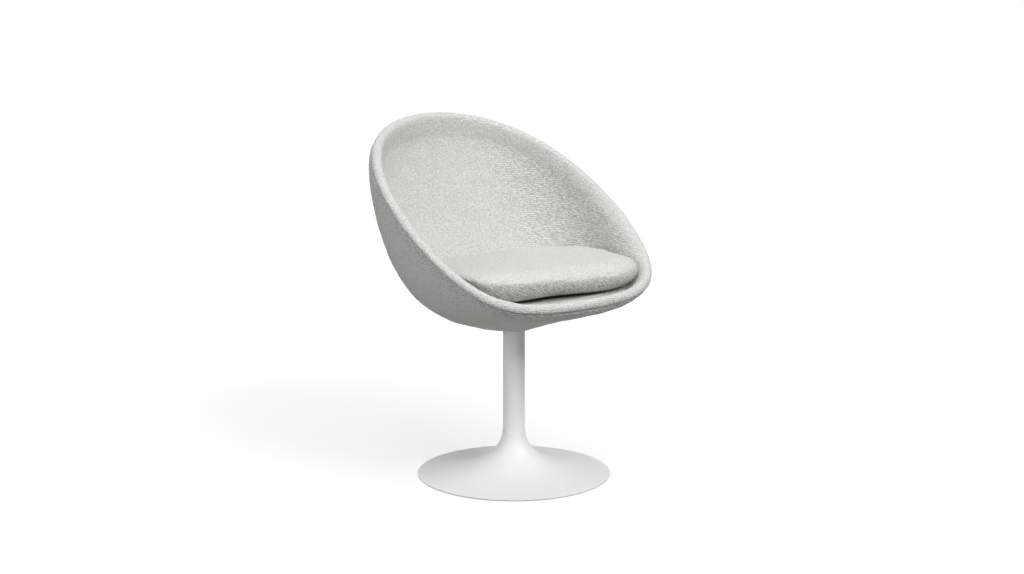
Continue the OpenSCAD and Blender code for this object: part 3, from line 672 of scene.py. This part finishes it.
length = np.linalg.norm(moved, axis=1) / MM
lift = np.clip((rest[:, 2] / MM - CUSHION_Z - 2) / 12, 0, 1)
share = np.minimum(1, SWELL_CAP / np.maximum(length, 1e-9)) * lift
points = rest + moved * share[:, None]
print("cushion moved by up to", round(float(length.max()), 2), "mm before the cap")

# %% [markdown]
# ## Seam and wrinkles of the cushion
# A seam joins the woven cover to the lining cloth of the base, and draws both in. The crown gets
# the same kind of soft lumps as the tub. A point too near the tub's wall is moved straight in.

# %% Cushion kept clear of the tub
SEAM_ANGLE, BASE_SEAM_DEPTH, BASE_SEAM_REACH, STAND_OUT = 40.5, 1.4, 1.8, 1.2
CROWN_WAVES, CROWN_FINE_WAVES = (45, 130), (12, 24)
CROWN_DEPTH, CROWN_FINE_DEPTH = 0.5, 0.2
EDGE_RIBS_AND_SHADE_BELOW, EDGE_RIBS_AND_SHADE_FADE = 0.498, 0.02


def base_seam(t):
    """Height of the seam round the cushion's base, in mm."""
    drop = math.sin(math.radians(90 * SEAM_ANGLE / EDGE_END))
    return CUSHION_Z + around(CUSHION_SWELLS, t) * (1 - drop)


place(cushion, points)
apply_modifier(cushion, "SUBSURF", levels=1, render_levels=1)
points = coordinates(cushion.data.vertices)
t, r = tub_angle(points), np.hypot(points[:, 0], points[:, 1]) / MM
z = np.maximum(points[:, 2] / MM, CUSHION_Z)
limit = cushion_limit(t, z) + STAND_OUT
keep = np.minimum(1, limit / np.maximum(r, 1e-6))
seam_pull = BASE_SEAM_DEPTH * np.exp(-((z - base_seam(t)) / BASE_SEAM_REACH) ** 2)
keep *= 1 - seam_pull * np.clip((r - 100) / 20, 0, 1) / np.maximum(r, 1)
points[:, :2] *= keep[:, None]
points[:, 2] = z * MM
crown = np.clip((z - CUSHION_Z - 20) / 20, 0, 1)
points[:, 2] += MM * crown * (CROWN_DEPTH * lumps(points, *CROWN_WAVES)
                              + CROWN_FINE_DEPTH * lumps(points, *CROWN_FINE_WAVES))
place(cushion, points)
face_outwards(cushion)
# Below about 498 mm, on the cushion's edge, the rows show, with painted shade in the gaps between
# loops.
mark_ribs_and_shade(cushion, eased((EDGE_RIBS_AND_SHADE_BELOW - points[:, 2]) / EDGE_RIBS_AND_SHADE_FADE))
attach(cushion, "cushion")
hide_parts("cushion_cover_top", "cushion_cover_base", "cushion_wrap", "cushion_core")
print("cushion top (mm):", round(float(points[:, 2].max() / MM), 1))

# %% [markdown]
# ## Zip
# A nylon zip closes the cushion low on its back. It is a woven tape with two rows of small teeth
# and one slider. The tape follows the cushion, so it is drawn from the cushion's own numbers, as a
# section of angles and depths. One tooth is drawn and copied along it.

# %% Zip tape
ZIP_ANGLE, TEETH_DEPTH, SLIDER_DEPTH = -20, -1.9, -3.0
TAPE_SECTION = ((5, -1.5), (2.4, -1.8), (0.5, -1.8), (0, -1.3), (-0.5, -1.8), (-2.4, -1.8),
                (-5, -1.5), (-5, -0.7), (0, -0.7), (5, -0.7))
zip_t = np.radians(np.linspace(142.5, 217.5, 151))


def cushion_line(a, depth):
    """Points along the cushion's back at angle a, at a depth under its face."""
    return in_space(zip_t, cushion_ring(zip_t, a, depth))


loops = np.array([cushion_line(ZIP_ANGLE + a, depth) for a, depth in TAPE_SECTION])
zip_tape = skin("cushion_zip_tape", [loops[:, i] for i in range(len(zip_t))], closed=False)
middle, over = cushion_line(ZIP_ANGLE, TEETH_DEPTH), cushion_line(ZIP_ANGLE, SLIDER_DEPTH)
path_length = np.concatenate([[0], np.cumsum(np.linalg.norm(np.diff(middle, axis=0), axis=1))])
print("zip length (m):", round(float(path_length[-1]), 3))

# %% Zip teeth
TOOTH_PITCH, TOOTH_HALF_W = 2.0 * MM, 0.55
TOOTH_SECTION = ((-0.3, 1.5), (0.5, 1.3), (0.75, 0.4), (0.5, -0.5), (-0.3, -0.6))
TOOTH_FACES = [(0, 1, 3, 2), (2, 3, 5, 4), (4, 5, 7, 6), (6, 7, 9, 8), (8, 9, 1, 0),
               (0, 2, 4, 6, 8), (1, 9, 7, 5, 3)]
teeth = int(path_length[-1] / TOOTH_PITCH) - 2


def along_zip(line, d):
    """The point at a distance along the zip on a line of points."""
    return np.array([np.interp(d, path_length, line[:, q]) for q in range(3)])


teeth_points, teeth_faces = [], []
for k in range(teeth):
    d = (k + 1.5) * TOOTH_PITCH
    here = along_zip(middle, d)
    ahead = along_zip(middle, d + MM) - here
    up = along_zip(over, d) - here
    ahead /= np.linalg.norm(ahead)
    up /= np.linalg.norm(up)
    side = np.cross(ahead, up) * (1 if k % 2 else -1)
    base = len(teeth_points)
    for h, w in TOOTH_SECTION:
        for f in (-TOOTH_HALF_W, TOOTH_HALF_W):
            teeth_points.append(here + MM * (h * up + w * side + f * ahead))
    order = 1 if k % 2 else -1
    teeth_faces += [tuple(base + q for q in corners)[::order] for corners in TOOTH_FACES]
mesh = bpy.data.meshes.new("cushion_zip_teeth")
mesh.from_pydata([tuple(p) for p in teeth_points], [], teeth_faces)
zip_teeth = bpy.data.objects.new("cushion_zip_teeth", mesh)
bpy.context.scene.collection.objects.link(zip_teeth)
face_outwards(zip_teeth)
for polygon in mesh.polygons:
    polygon.use_smooth = False
print("zip teeth:", teeth)

# %% Zip slider
SLIDER_STEP, SLIDER_SIZE, SLIDER_BEVEL = 8, (9, 2.4, 6.5), 0.9
bpy.ops.object.select_all(action="DESELECT")
slide_at = middle[SLIDER_STEP]
run = middle[SLIDER_STEP + 1] - middle[SLIDER_STEP - 1]
bpy.ops.mesh.primitive_cube_add(size=1, location=slide_at + (over[SLIDER_STEP] - slide_at) * 1.2,
                                rotation=(0, 0, math.atan2(run[1], run[0])))
slider = bpy.context.object
slider.name = "cushion_zip_slider"
slider.scale = [size * MM for size in SLIDER_SIZE]
settle(slider)
edit_all()
bpy.ops.mesh.bevel(offset=SLIDER_BEVEL * MM, segments=3)
bpy.ops.object.mode_set(mode="OBJECT")
bpy.ops.object.shade_smooth_by_angle(angle=SMOOTH_ANGLE)
for piece in (zip_tape, zip_teeth, slider):
    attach(piece, "cushion")
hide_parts("cushion_zip")
print("slider at (m):", [round(float(v), 3) for v in slide_at])

# %% [markdown]
# ## Trumpet foot and column
# The foot is one steel disc, spun on a lathe into a trumpet and turned under at its edge. The
# column is a length of tube. Both are shaped here the way a lathe would: a circle of edges is
# extruded from point to point of the profile, and each time it is resized to the profile's radius.

# %% Lathe
def lathe(name, profile, segments=160):
    """Turns a closed profile of (radius, height) points in mm into a solid."""
    bpy.ops.object.select_all(action="DESELECT")
    r, z = profile[0]
    bpy.ops.mesh.primitive_circle_add(vertices=segments, radius=r * MM, location=(0, 0, z * MM))
    piece = bpy.context.object
    piece.name = name
    edit_all()
    for next_r, next_z in [*profile[1:], profile[0]]:
        bpy.ops.mesh.extrude_region_move(
            TRANSFORM_OT_translate={"value": (0, 0, (next_z - z) * MM)})
        bpy.ops.transform.resize(value=(next_r / r, next_r / r, 1),
                                 center_override=(0, 0, next_z * MM))
        r, z = next_r, next_z
    bpy.ops.mesh.select_all(action="SELECT")
    bpy.ops.mesh.remove_doubles(threshold=0.002 * MM)
    bpy.ops.mesh.normals_make_consistent(inside=False)
    bpy.ops.object.mode_set(mode="OBJECT")
    settle(piece)
    bpy.ops.object.shade_smooth_by_angle(angle=math.radians(35))
    return piece


# %% Trumpet foot
FOOT_R, THROAT_R, THROAT_Z, FOOT_WALL, FOOT_BORE_R, HEM_R = 220, 26.3, 103, 2, 25.06, 203
FLARE = ((THROAT_R, THROAT_Z), (THROAT_R, 67), (62, 9.2), (FOOT_R, 3.7))
THROAT_LIP = [(FOOT_BORE_R, 103.6), (25.5, 104.1), (26.0, 103.9), (26.28, 103.3)]
HEM = [(FOOT_R, 3.1), (219.95, 2.3), (219.7, 1.5), (219.2, 1.05), (204, 1.0), (203.6, 1.35)]
foot_curve = [np.array([p], float) for p in FLARE]
s = np.linspace(0, 1, 61)[:, None]
face = on_curve(foot_curve, s)[:, 0]
under_face = (on_curve(foot_curve, s) - FOOT_WALL * curve_side(foot_curve, s))[:, 0]
under_face[:, 0] = np.maximum(under_face[:, 0], FOOT_BORE_R)
inside = [tuple(p) for p in under_face[::-1] if p[0] < HEM_R]
foot = lathe("trumpet_foot_spun", THROAT_LIP + [tuple(p) for p in face[1:]] + HEM + inside)
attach(foot, "base")
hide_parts("trumpet_foot")
print("foot faces:", len(foot.data.polygons))

# %% Column
COLUMN_R, COLUMN_EDGE_R, COLUMN_BORE_R, COLUMN_LOW, COLUMN_TOP = 25, 24.4, 22.5, 34, 356
column_face = [(COLUMN_R, z) for z in np.linspace(COLUMN_LOW + 1, COLUMN_TOP - 1, 24)]
column = lathe("column_painted", [
    (COLUMN_BORE_R, COLUMN_LOW), (COLUMN_EDGE_R, COLUMN_LOW), *column_face,
    (COLUMN_EDGE_R, COLUMN_TOP), (COLUMN_BORE_R, COLUMN_TOP)], segments=96)
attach(column, "base")
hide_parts("column_tube")
print("column faces:", len(column.data.polygons))

# %% [markdown]
# ## Materials
# Every finish is built from nodes, and each starts from what the real surface is. Patterns read
# Object coordinates, which are metres in the chair's own frame, so a scale of 1 / 0.005 gives
# features 5 mm apart. Colours are written as the hex values that a designer would pick.

# %% Material helpers
def linear(hex_colour):
    """An sRGB hex colour as linear red, green, blue and alpha."""
    parts = [int(hex_colour[i:i + 2], 16) / 255 for i in (1, 3, 5)]
    return [c / 12.92 if c <= 0.04045 else ((c + 0.055) / 1.055) ** 2.4 for c in parts] + [1]


def add(tree, kind, links=None, **settings):
    """Adds a shader node with its settings, and fills its sockets with values or with links."""
    made = tree.nodes.new("ShaderNode" + kind)
    for key, value in settings.items():
        setattr(made, key, value)
    for socket, value in (links or {}).items():
        if isinstance(value, bpy.types.NodeSocket):
            tree.links.new(value, made.inputs[socket])
        else:
            made.inputs[socket].default_value = value
    return made


def new_material(name):
    """A node material, its tree and the socket that gives the place on the piece."""
    material = bpy.data.materials.new(name)
    material.use_nodes = True
    tree = material.node_tree
    tree.nodes.clear()
    return material, tree, add(tree, "TexCoord").outputs["Object"]


def finish_material(tree, share, dark, light, height, strength, depth, **values):
    """Plugs a mix of two colours, a bump and these values into a Principled shader."""
    colour = add(tree, "Mix", {0: share, 6: dark, 7: light}, data_type="RGBA")
    bump = add(tree, "Bump", {"Height": height, "Strength": strength, "Distance": depth})
    sockets = {name.replace("_", " "): value for name, value in values.items()}
    shader = add(tree, "BsdfPrincipled",
                 {"Base Color": colour.outputs[2], "Normal": bump.outputs[0], **sockets})
    add(tree, "OutputMaterial", {0: shader.outputs[0]})


# %% [markdown]
# ## Looped wool cloth
# Boucle is woven from a wool yarn with small uneven loops, so its face is a field of pebbles in
# close rows. Most of the look is relief: where light comes from straight ahead the cloth is nearly
# plain. The pits between the loops are also coloured darker than their tops, as painted shade. The
# rows are a wave whose phase wanders, cut into short marks by a noise that is drawn out along them.
# They stand out beside the seams, on the tub's right-hand wall and on the cushion's edge, where the
# pits get more painted shade and the tops a painted highlight. How much they do is stored on the
# pieces.

# %% Boucle wool
ROW, LOOP, FIBRE = 4.6, 3.2, 1.5


def boucle(name, across):
    """Looped wool whose rows are stacked along the direction across."""
    material, tree, spot = new_material(name)
    turn = Vector((0, 0, 1)).rotation_difference(Vector(across)).inverted().to_euler()
    turned = add(tree, "Mapping", {"Vector": spot, "Rotation": turn}).outputs[0]
    rows = add(tree, "TexWave", {"Vector": turned, "Scale": math.pi / 10 / (ROW * MM),
                                 "Distortion": 4.0, "Detail": 1.0, "Detail Scale": 2.0},
               bands_direction="Z")
    along = add(tree, "VectorMath", {0: turned, 1: (0.35, 0.35, 1)},
                operation="MULTIPLY")
    marks = add(tree, "TexNoise", {"Vector": along.outputs[0], "Scale": 1 / (LOOP * MM),
                                   "Detail": 0.0})
    stretch = add(tree, "MapRange", {"Value": marks.outputs[0], "From Min": 0.35, "From Max": 0.6})
    broken = add(tree, "Math", {0: rows.outputs["Fac"], 1: stretch.outputs[0]},
                 operation="MULTIPLY")
    loops = add(tree, "TexNoise", {"Vector": turned, "Scale": 1 / (LOOP * MM), "Detail": 0.0})
    fibres = add(tree, "TexNoise", {"Vector": turned, "Scale": 1 / (FIBRE * MM), "Detail": 1.0})
    ribbed_and_shaded = add(tree, "Attribute", attribute_name="ribbed_and_shaded").outputs["Fac"]
    share = add(tree, "MapRange", {"Value": ribbed_and_shaded, "To Min": 0.12, "To Max": 0.5})
    pebbles = add(tree, "Mix", {0: share.outputs[0], 2: loops.outputs[0], 3: broken.outputs[0]})
    height = add(tree, "Mix", {0: 0.2, 2: pebbles.outputs[0], 3: fibres.outputs[0]}).outputs[0]
    # Painted shade: the colour runs from the darker gap tone in the pits between the loops to the
    # crest tone on their tops.
    tone = add(tree, "MapRange", {"Value": height, "From Min": 0.15, "From Max": 0.65})
    # Where the rows show, the gaps are painted darker still and the crests lighter, as painted
    # shade and a painted highlight.
    gap_painted_shade = add(tree, "Mix", {0: ribbed_and_shaded, 6: linear("#AEAFAB"), 7: linear("#9B9C96")},
               data_type="RGBA")
    crest_colour_and_highlight = add(tree, "Mix", {0: ribbed_and_shaded, 6: linear("#D5D6D1"), 7: linear("#E2E3DE")},
                 data_type="RGBA")
    finish_material(tree, tone.outputs[0], gap_painted_shade.outputs[2], crest_colour_and_highlight.outputs[2], height, 1.0,
                    2.6 * MM, Roughness=0.95, Specular_IOR_Level=0.2, Sheen_Weight=0.1,
                    Sheen_Roughness=0.5)
    return material


tub_boucle = boucle("boucle_wool_tub", (0.08, 0.05, 1))
cushion_boucle = boucle("boucle_wool_cushion", (0.5, 0, 0.86))

# %% [markdown]
# ## Painted steel
# The foot and the column have a white powder coat. The powder melts in an oven and keeps a very
# faint orange peel, a few millimetres across and only hundredths of a millimetre deep, which makes
# reflections soft without hiding them.

# %% Powder coat
PEEL, CLOUDS, PEEL_DEPTH = 2.5, 90, 0.05
powder_coat, tree, spot = new_material("satin_powder_coat")
peel = add(tree, "TexNoise", {"Vector": spot, "Scale": 1 / (PEEL * MM), "Detail": 1.0})
dust = add(tree, "TexNoise", {"Vector": spot, "Scale": 1 / (CLOUDS * MM), "Detail": 3.0})
gloss = add(tree, "MapRange", {"Value": dust.outputs[0], "To Min": 0.5, "To Max": 0.58})
finish_material(tree, dust.outputs[0], linear("#F7F7F5"), linear("#FAFAF8"), peel.outputs[0],
                0.25, PEEL_DEPTH * MM, Roughness=gloss.outputs[0], Specular_IOR_Level=0.55)
print("peel", PEEL, "mm across and", PEEL_DEPTH, "mm deep")

# %% [markdown]
# ## Cloths, foams and wadding
# The parts under the cushion and inside the tub have finishes too, since the cushion can be lifted
# out. Lining cloth is a fine plain weave, foam is an open sponge of tiny bubbles, and wadding is a
# cloud of fibres.

# %% Woven cloths
BANDS_PER_UNIT = 3.2


def plain_weave(name, dark, light, thread):
    """A plain weave with threads this many mm apart, drawn as two crossed waves."""
    material, tree, spot = new_material(name)
    warp, weft = [add(tree, "TexWave", {"Vector": spot, "Distortion": 0.6,
                                        "Scale": 1 / (thread * MM) / BANDS_PER_UNIT},
                      bands_direction=way) for way in "XY"]
    over = add(tree, "Math", {0: warp.outputs["Fac"], 1: weft.outputs["Fac"]},
               operation="MAXIMUM")
    finish_material(tree, over.outputs[0], linear(dark), linear(light), over.outputs[0], 0.5,
                    0.3 * MM, Roughness=0.9, Sheen_Weight=0.1)
    return material


lining_weave = plain_weave("polyester_lining", "#8C8C89", "#AEAEAA", 0.9)
tape_weave = plain_weave("hook_and_loop_tape", "#141415", "#2C2C2E", 1.3)
print("woven:", lining_weave.name, "and", tape_weave.name)


# %% Foam and wadding
BLOTCH = 40


def spongy(name, dark, light, bubble, depth):
    """Open cells this many mm across."""
    material, tree, spot = new_material(name)
    cells = add(tree, "TexVoronoi", {"Vector": spot, "Scale": 1 / (bubble * MM)},
                feature="SMOOTH_F1")
    blotch = add(tree, "TexNoise", {"Vector": spot, "Scale": 1 / (BLOTCH * MM), "Detail": 3.0})
    tone = add(tree, "Math", {0: cells.outputs["Distance"], 1: blotch.outputs[0]},
               operation="ADD")
    finish_material(tree, tone.outputs[0], linear(dark), linear(light),
                    cells.outputs["Distance"], 0.6, depth * MM, Roughness=0.95,
                    Subsurface_Weight=0.05)
    return material


open_foam = spongy("polyurethane_foam", "#C9B982", "#EADFB4", 2.2, 0.5)
fibre_wadding = spongy("polyester_wadding", "#E4E3DE", "#F7F6F2", 4.0, 1.2)
print("spongy:", open_foam.name, "and", fibre_wadding.name)

# %% [markdown]
# ## Structural materials
# The tub's shell is moulded glass fibre in polyester resin, and its board is birch plywood. The
# fittings are steel with a thin layer of zinc, the ballast is cast iron from a sand mould, the
# bushes are nylon, and the ring under the foot is soft rubber.

# %% Grainy materials
def grained(name, dark, light, size, stretch, depth, smooth, rough, **values):
    """A mottled surface whose marks are this many mm across and stretched along an axis."""
    material, tree, spot = new_material(name)
    long_way = add(tree, "VectorMath", {0: spot, 1: stretch}, operation="MULTIPLY")
    marks = add(tree, "TexNoise", {"Vector": long_way.outputs[0], "Scale": 1 / (size * MM),
                                   "Detail": 5.0, "Roughness": 0.62, "Distortion": 0.3})
    tone = add(tree, "MapRange", {"Value": marks.outputs[0], "From Min": 0.3, "From Max": 0.7})
    gloss = add(tree, "MapRange", {"Value": marks.outputs[0], "To Min": smooth, "To Max": rough})
    finish_material(tree, tone.outputs[0], linear(dark), linear(light), marks.outputs[0], 0.4,
                    depth * MM, Roughness=gloss.outputs[0], **values)
    return material


glass_fibre = grained("glass_fibre_moulding", "#7C8074", "#A3A698", 9, (1, 1, 1), 0.3,
                      smooth=0.4, rough=0.65)
birch = grained("birch_plywood", "#B98F58", "#DDBE8C", 7, (1, 0.09, 1), 0.2,
                smooth=0.5, rough=0.7)
zinc_steel = grained("zinc_plated_steel", "#9FA3A6", "#C3C7C9", 12, (1, 1, 1), 0.03,
                     smooth=0.25, rough=0.45, Metallic=1.0)
cast_iron = grained("cast_iron", "#232325", "#3B3B3D", 1.8, (1, 1, 1), 0.4,
                    smooth=0.6, rough=0.85, Metallic=0.3)
nylon = grained("natural_nylon", "#DED9C6", "#EFEBDD", 14, (1, 1, 1), 0.05,
                smooth=0.35, rough=0.5)
rubber = grained("moulded_rubber", "#1A1A1B", "#2A2A2B", 2.5, (1, 1, 1), 0.08,
                 smooth=0.7, rough=0.85)
print("materials:", len(bpy.data.materials))

# %% [markdown]
# ## Which finish goes where
# The CAD model names a slot for each part, and each slot has one finish. A new piece gets the
# finish of the slot of the part it dresses. Only the cushion has two: its woven cover, and lining
# cloth below the seam.

# %% Materials on the CAD nodes and the new pieces
BY_SLOT = {"cover_fabric": tub_boucle, "lining_fabric": lining_weave, "foam": open_foam,
           "wadding": fibre_wadding, "shell_moulding": glass_fibre, "plywood": birch,
           "white_paint": powder_coat, "steel": zinc_steel, "ballast_iron": cast_iron,
           "nylon": nylon, "touch_tape": tape_weave, "soft_plastic": rubber}
slot_of = {row["node"]: row["material_slot"] for row in frame["record"]["subparts"]}
for name, node in frame["nodes"].items():
    node.data.materials.clear()
    node.data.materials.append(BY_SLOT[slot_of[name]])
NEW_PIECES = [(outer_cover, "cover_fabric", tub_boucle), (inner_cover, "cover_fabric", tub_boucle),
              (cushion, "cover_fabric", cushion_boucle),
              (deck_lining, "lining_fabric", lining_weave),
              (deck_strips, "touch_tape", tape_weave), (cushion_strips, "touch_tape", tape_weave),
              (zip_tape, slot_of["cushion_zip"], tape_weave),
              (zip_teeth, slot_of["cushion_zip"], rubber),
              (slider, slot_of["cushion_zip"], zinc_steel),
              (foot, "white_paint", powder_coat), (column, "white_paint", powder_coat)]
for piece, slot, material in NEW_PIECES:
    piece.data.materials.clear()
    piece.data.materials.append(material)
cushion.data.materials.append(lining_weave)
centres = coordinates(cushion.data.polygons, "center")
below = centres[:, 2] / MM < base_seam(tub_angle(centres))
cushion.data.polygons.foreach_set("material_index", below.astype(int))
print("slots used:", sorted(set(slot_of.values())))

# %% [markdown]
# ## Floor
# The chair stands on a white sweep, and its shadow falls on it. The camera and any reflection see
# it white. To all other light it is grey, so it sends only a part back up at the chair, as a matt
# studio floor does.

# %% Floor
bpy.ops.object.select_all(action="DESELECT")
bpy.ops.mesh.primitive_plane_add(size=30, location=(0, 0, 0))
floor = bpy.context.object
floor.name = "floor"
floor_finish, tree, spot = new_material("matt_white_floor")
eye = add(tree, "LightPath")
seen = add(tree, "Math", {0: eye.outputs["Is Camera Ray"], 1: eye.outputs["Is Glossy Ray"]},
           operation="MAXIMUM")
sheet_white = add(tree, "BsdfDiffuse", {"Color": linear("#A4A4A4")})
away = add(tree, "VectorMath", {0: spot}, operation="LENGTH")
lit = add(tree, "MapRange", {"Value": away.outputs["Value"], "From Min": 0.5, "From Max": 2.2,
                             "To Min": 0.72, "To Max": 1.0}, interpolation_type="SMOOTHSTEP")
glow = add(tree, "Emission", {"Color": linear("#FFFFFF"), "Strength": lit.outputs[0]})
white = add(tree, "AddShader", {0: sheet_white.outputs[0], 1: glow.outputs[0]})
grey = add(tree, "BsdfDiffuse", {"Color": linear("#9A9A98")})
both = add(tree, "MixShader", {0: seen.outputs[0], 1: grey.outputs[0], 2: white.outputs[0]})
add(tree, "OutputMaterial", {0: both.outputs[0]})
floor.data.materials.append(floor_finish)
print("floor (m):", round(floor.dimensions.x, 1))

# %% [markdown]
# ## Lamps and backdrop
# Four softboxes light the chair. The strongest stands in front of it, to the right of the camera,
# so the inside of the tub and the cushion are bright and the flank on the left is in shade. One
# hangs above, a weaker one is low on the left, and a faint one behind lifts the rim's far edge.

# %% Lamps and backdrop
LAMP_SIZE, LAMP_TARGET = 1.6, Vector((0, 0, 0.45))
LAMPS = {"key_softbox": (78, (0.28, -2.28, 2.38)), "top_softbox": (37, (0.0, 0.0, 3.45)),
         "left_softbox": (29, (-2.80, -0.34, 1.48)), "rear_left_fill": (12, (-1.52, 1.19, 2.75))}
for name, (power, location) in LAMPS.items():
    data = bpy.data.lights.new(name, "AREA")
    data.shape = "SQUARE"
    data.size = LAMP_SIZE
    data.energy = power
    lamp = bpy.data.objects.new(name, data)
    bpy.context.scene.collection.objects.link(lamp)
    lamp.location = location
    lamp.rotation_euler = (LAMP_TARGET - Vector(location)).to_track_quat("-Z", "Y").to_euler()
world = bpy.data.worlds.new("studio")
bpy.context.scene.world = world
world.use_nodes = True
tree = world.node_tree
tree.nodes.clear()
eye = add(tree, "LightPath")
seen = add(tree, "Math", {0: eye.outputs["Is Camera Ray"], 1: eye.outputs["Is Glossy Ray"]},
           operation="MAXIMUM")
seen = add(tree, "Math", {0: seen.outputs[0], 1: eye.outputs["Is Transmission Ray"]},
           operation="MAXIMUM")
backdrop = add(tree, "Background", {"Color": linear("#FFFFFF"), "Strength": 1.0})
ambient = add(tree, "Background", {"Color": linear("#F4F6FA"), "Strength": 0.04})
both = add(tree, "MixShader", {0: seen.outputs[0], 1: ambient.outputs[0], 2: backdrop.outputs[0]})
add(tree, "OutputWorld", {0: both.outputs[0]})
bpy.context.scene.view_settings.view_transform = "Standard"
print("lamps (W):", {name: power for name, (power, _) in LAMPS.items()})
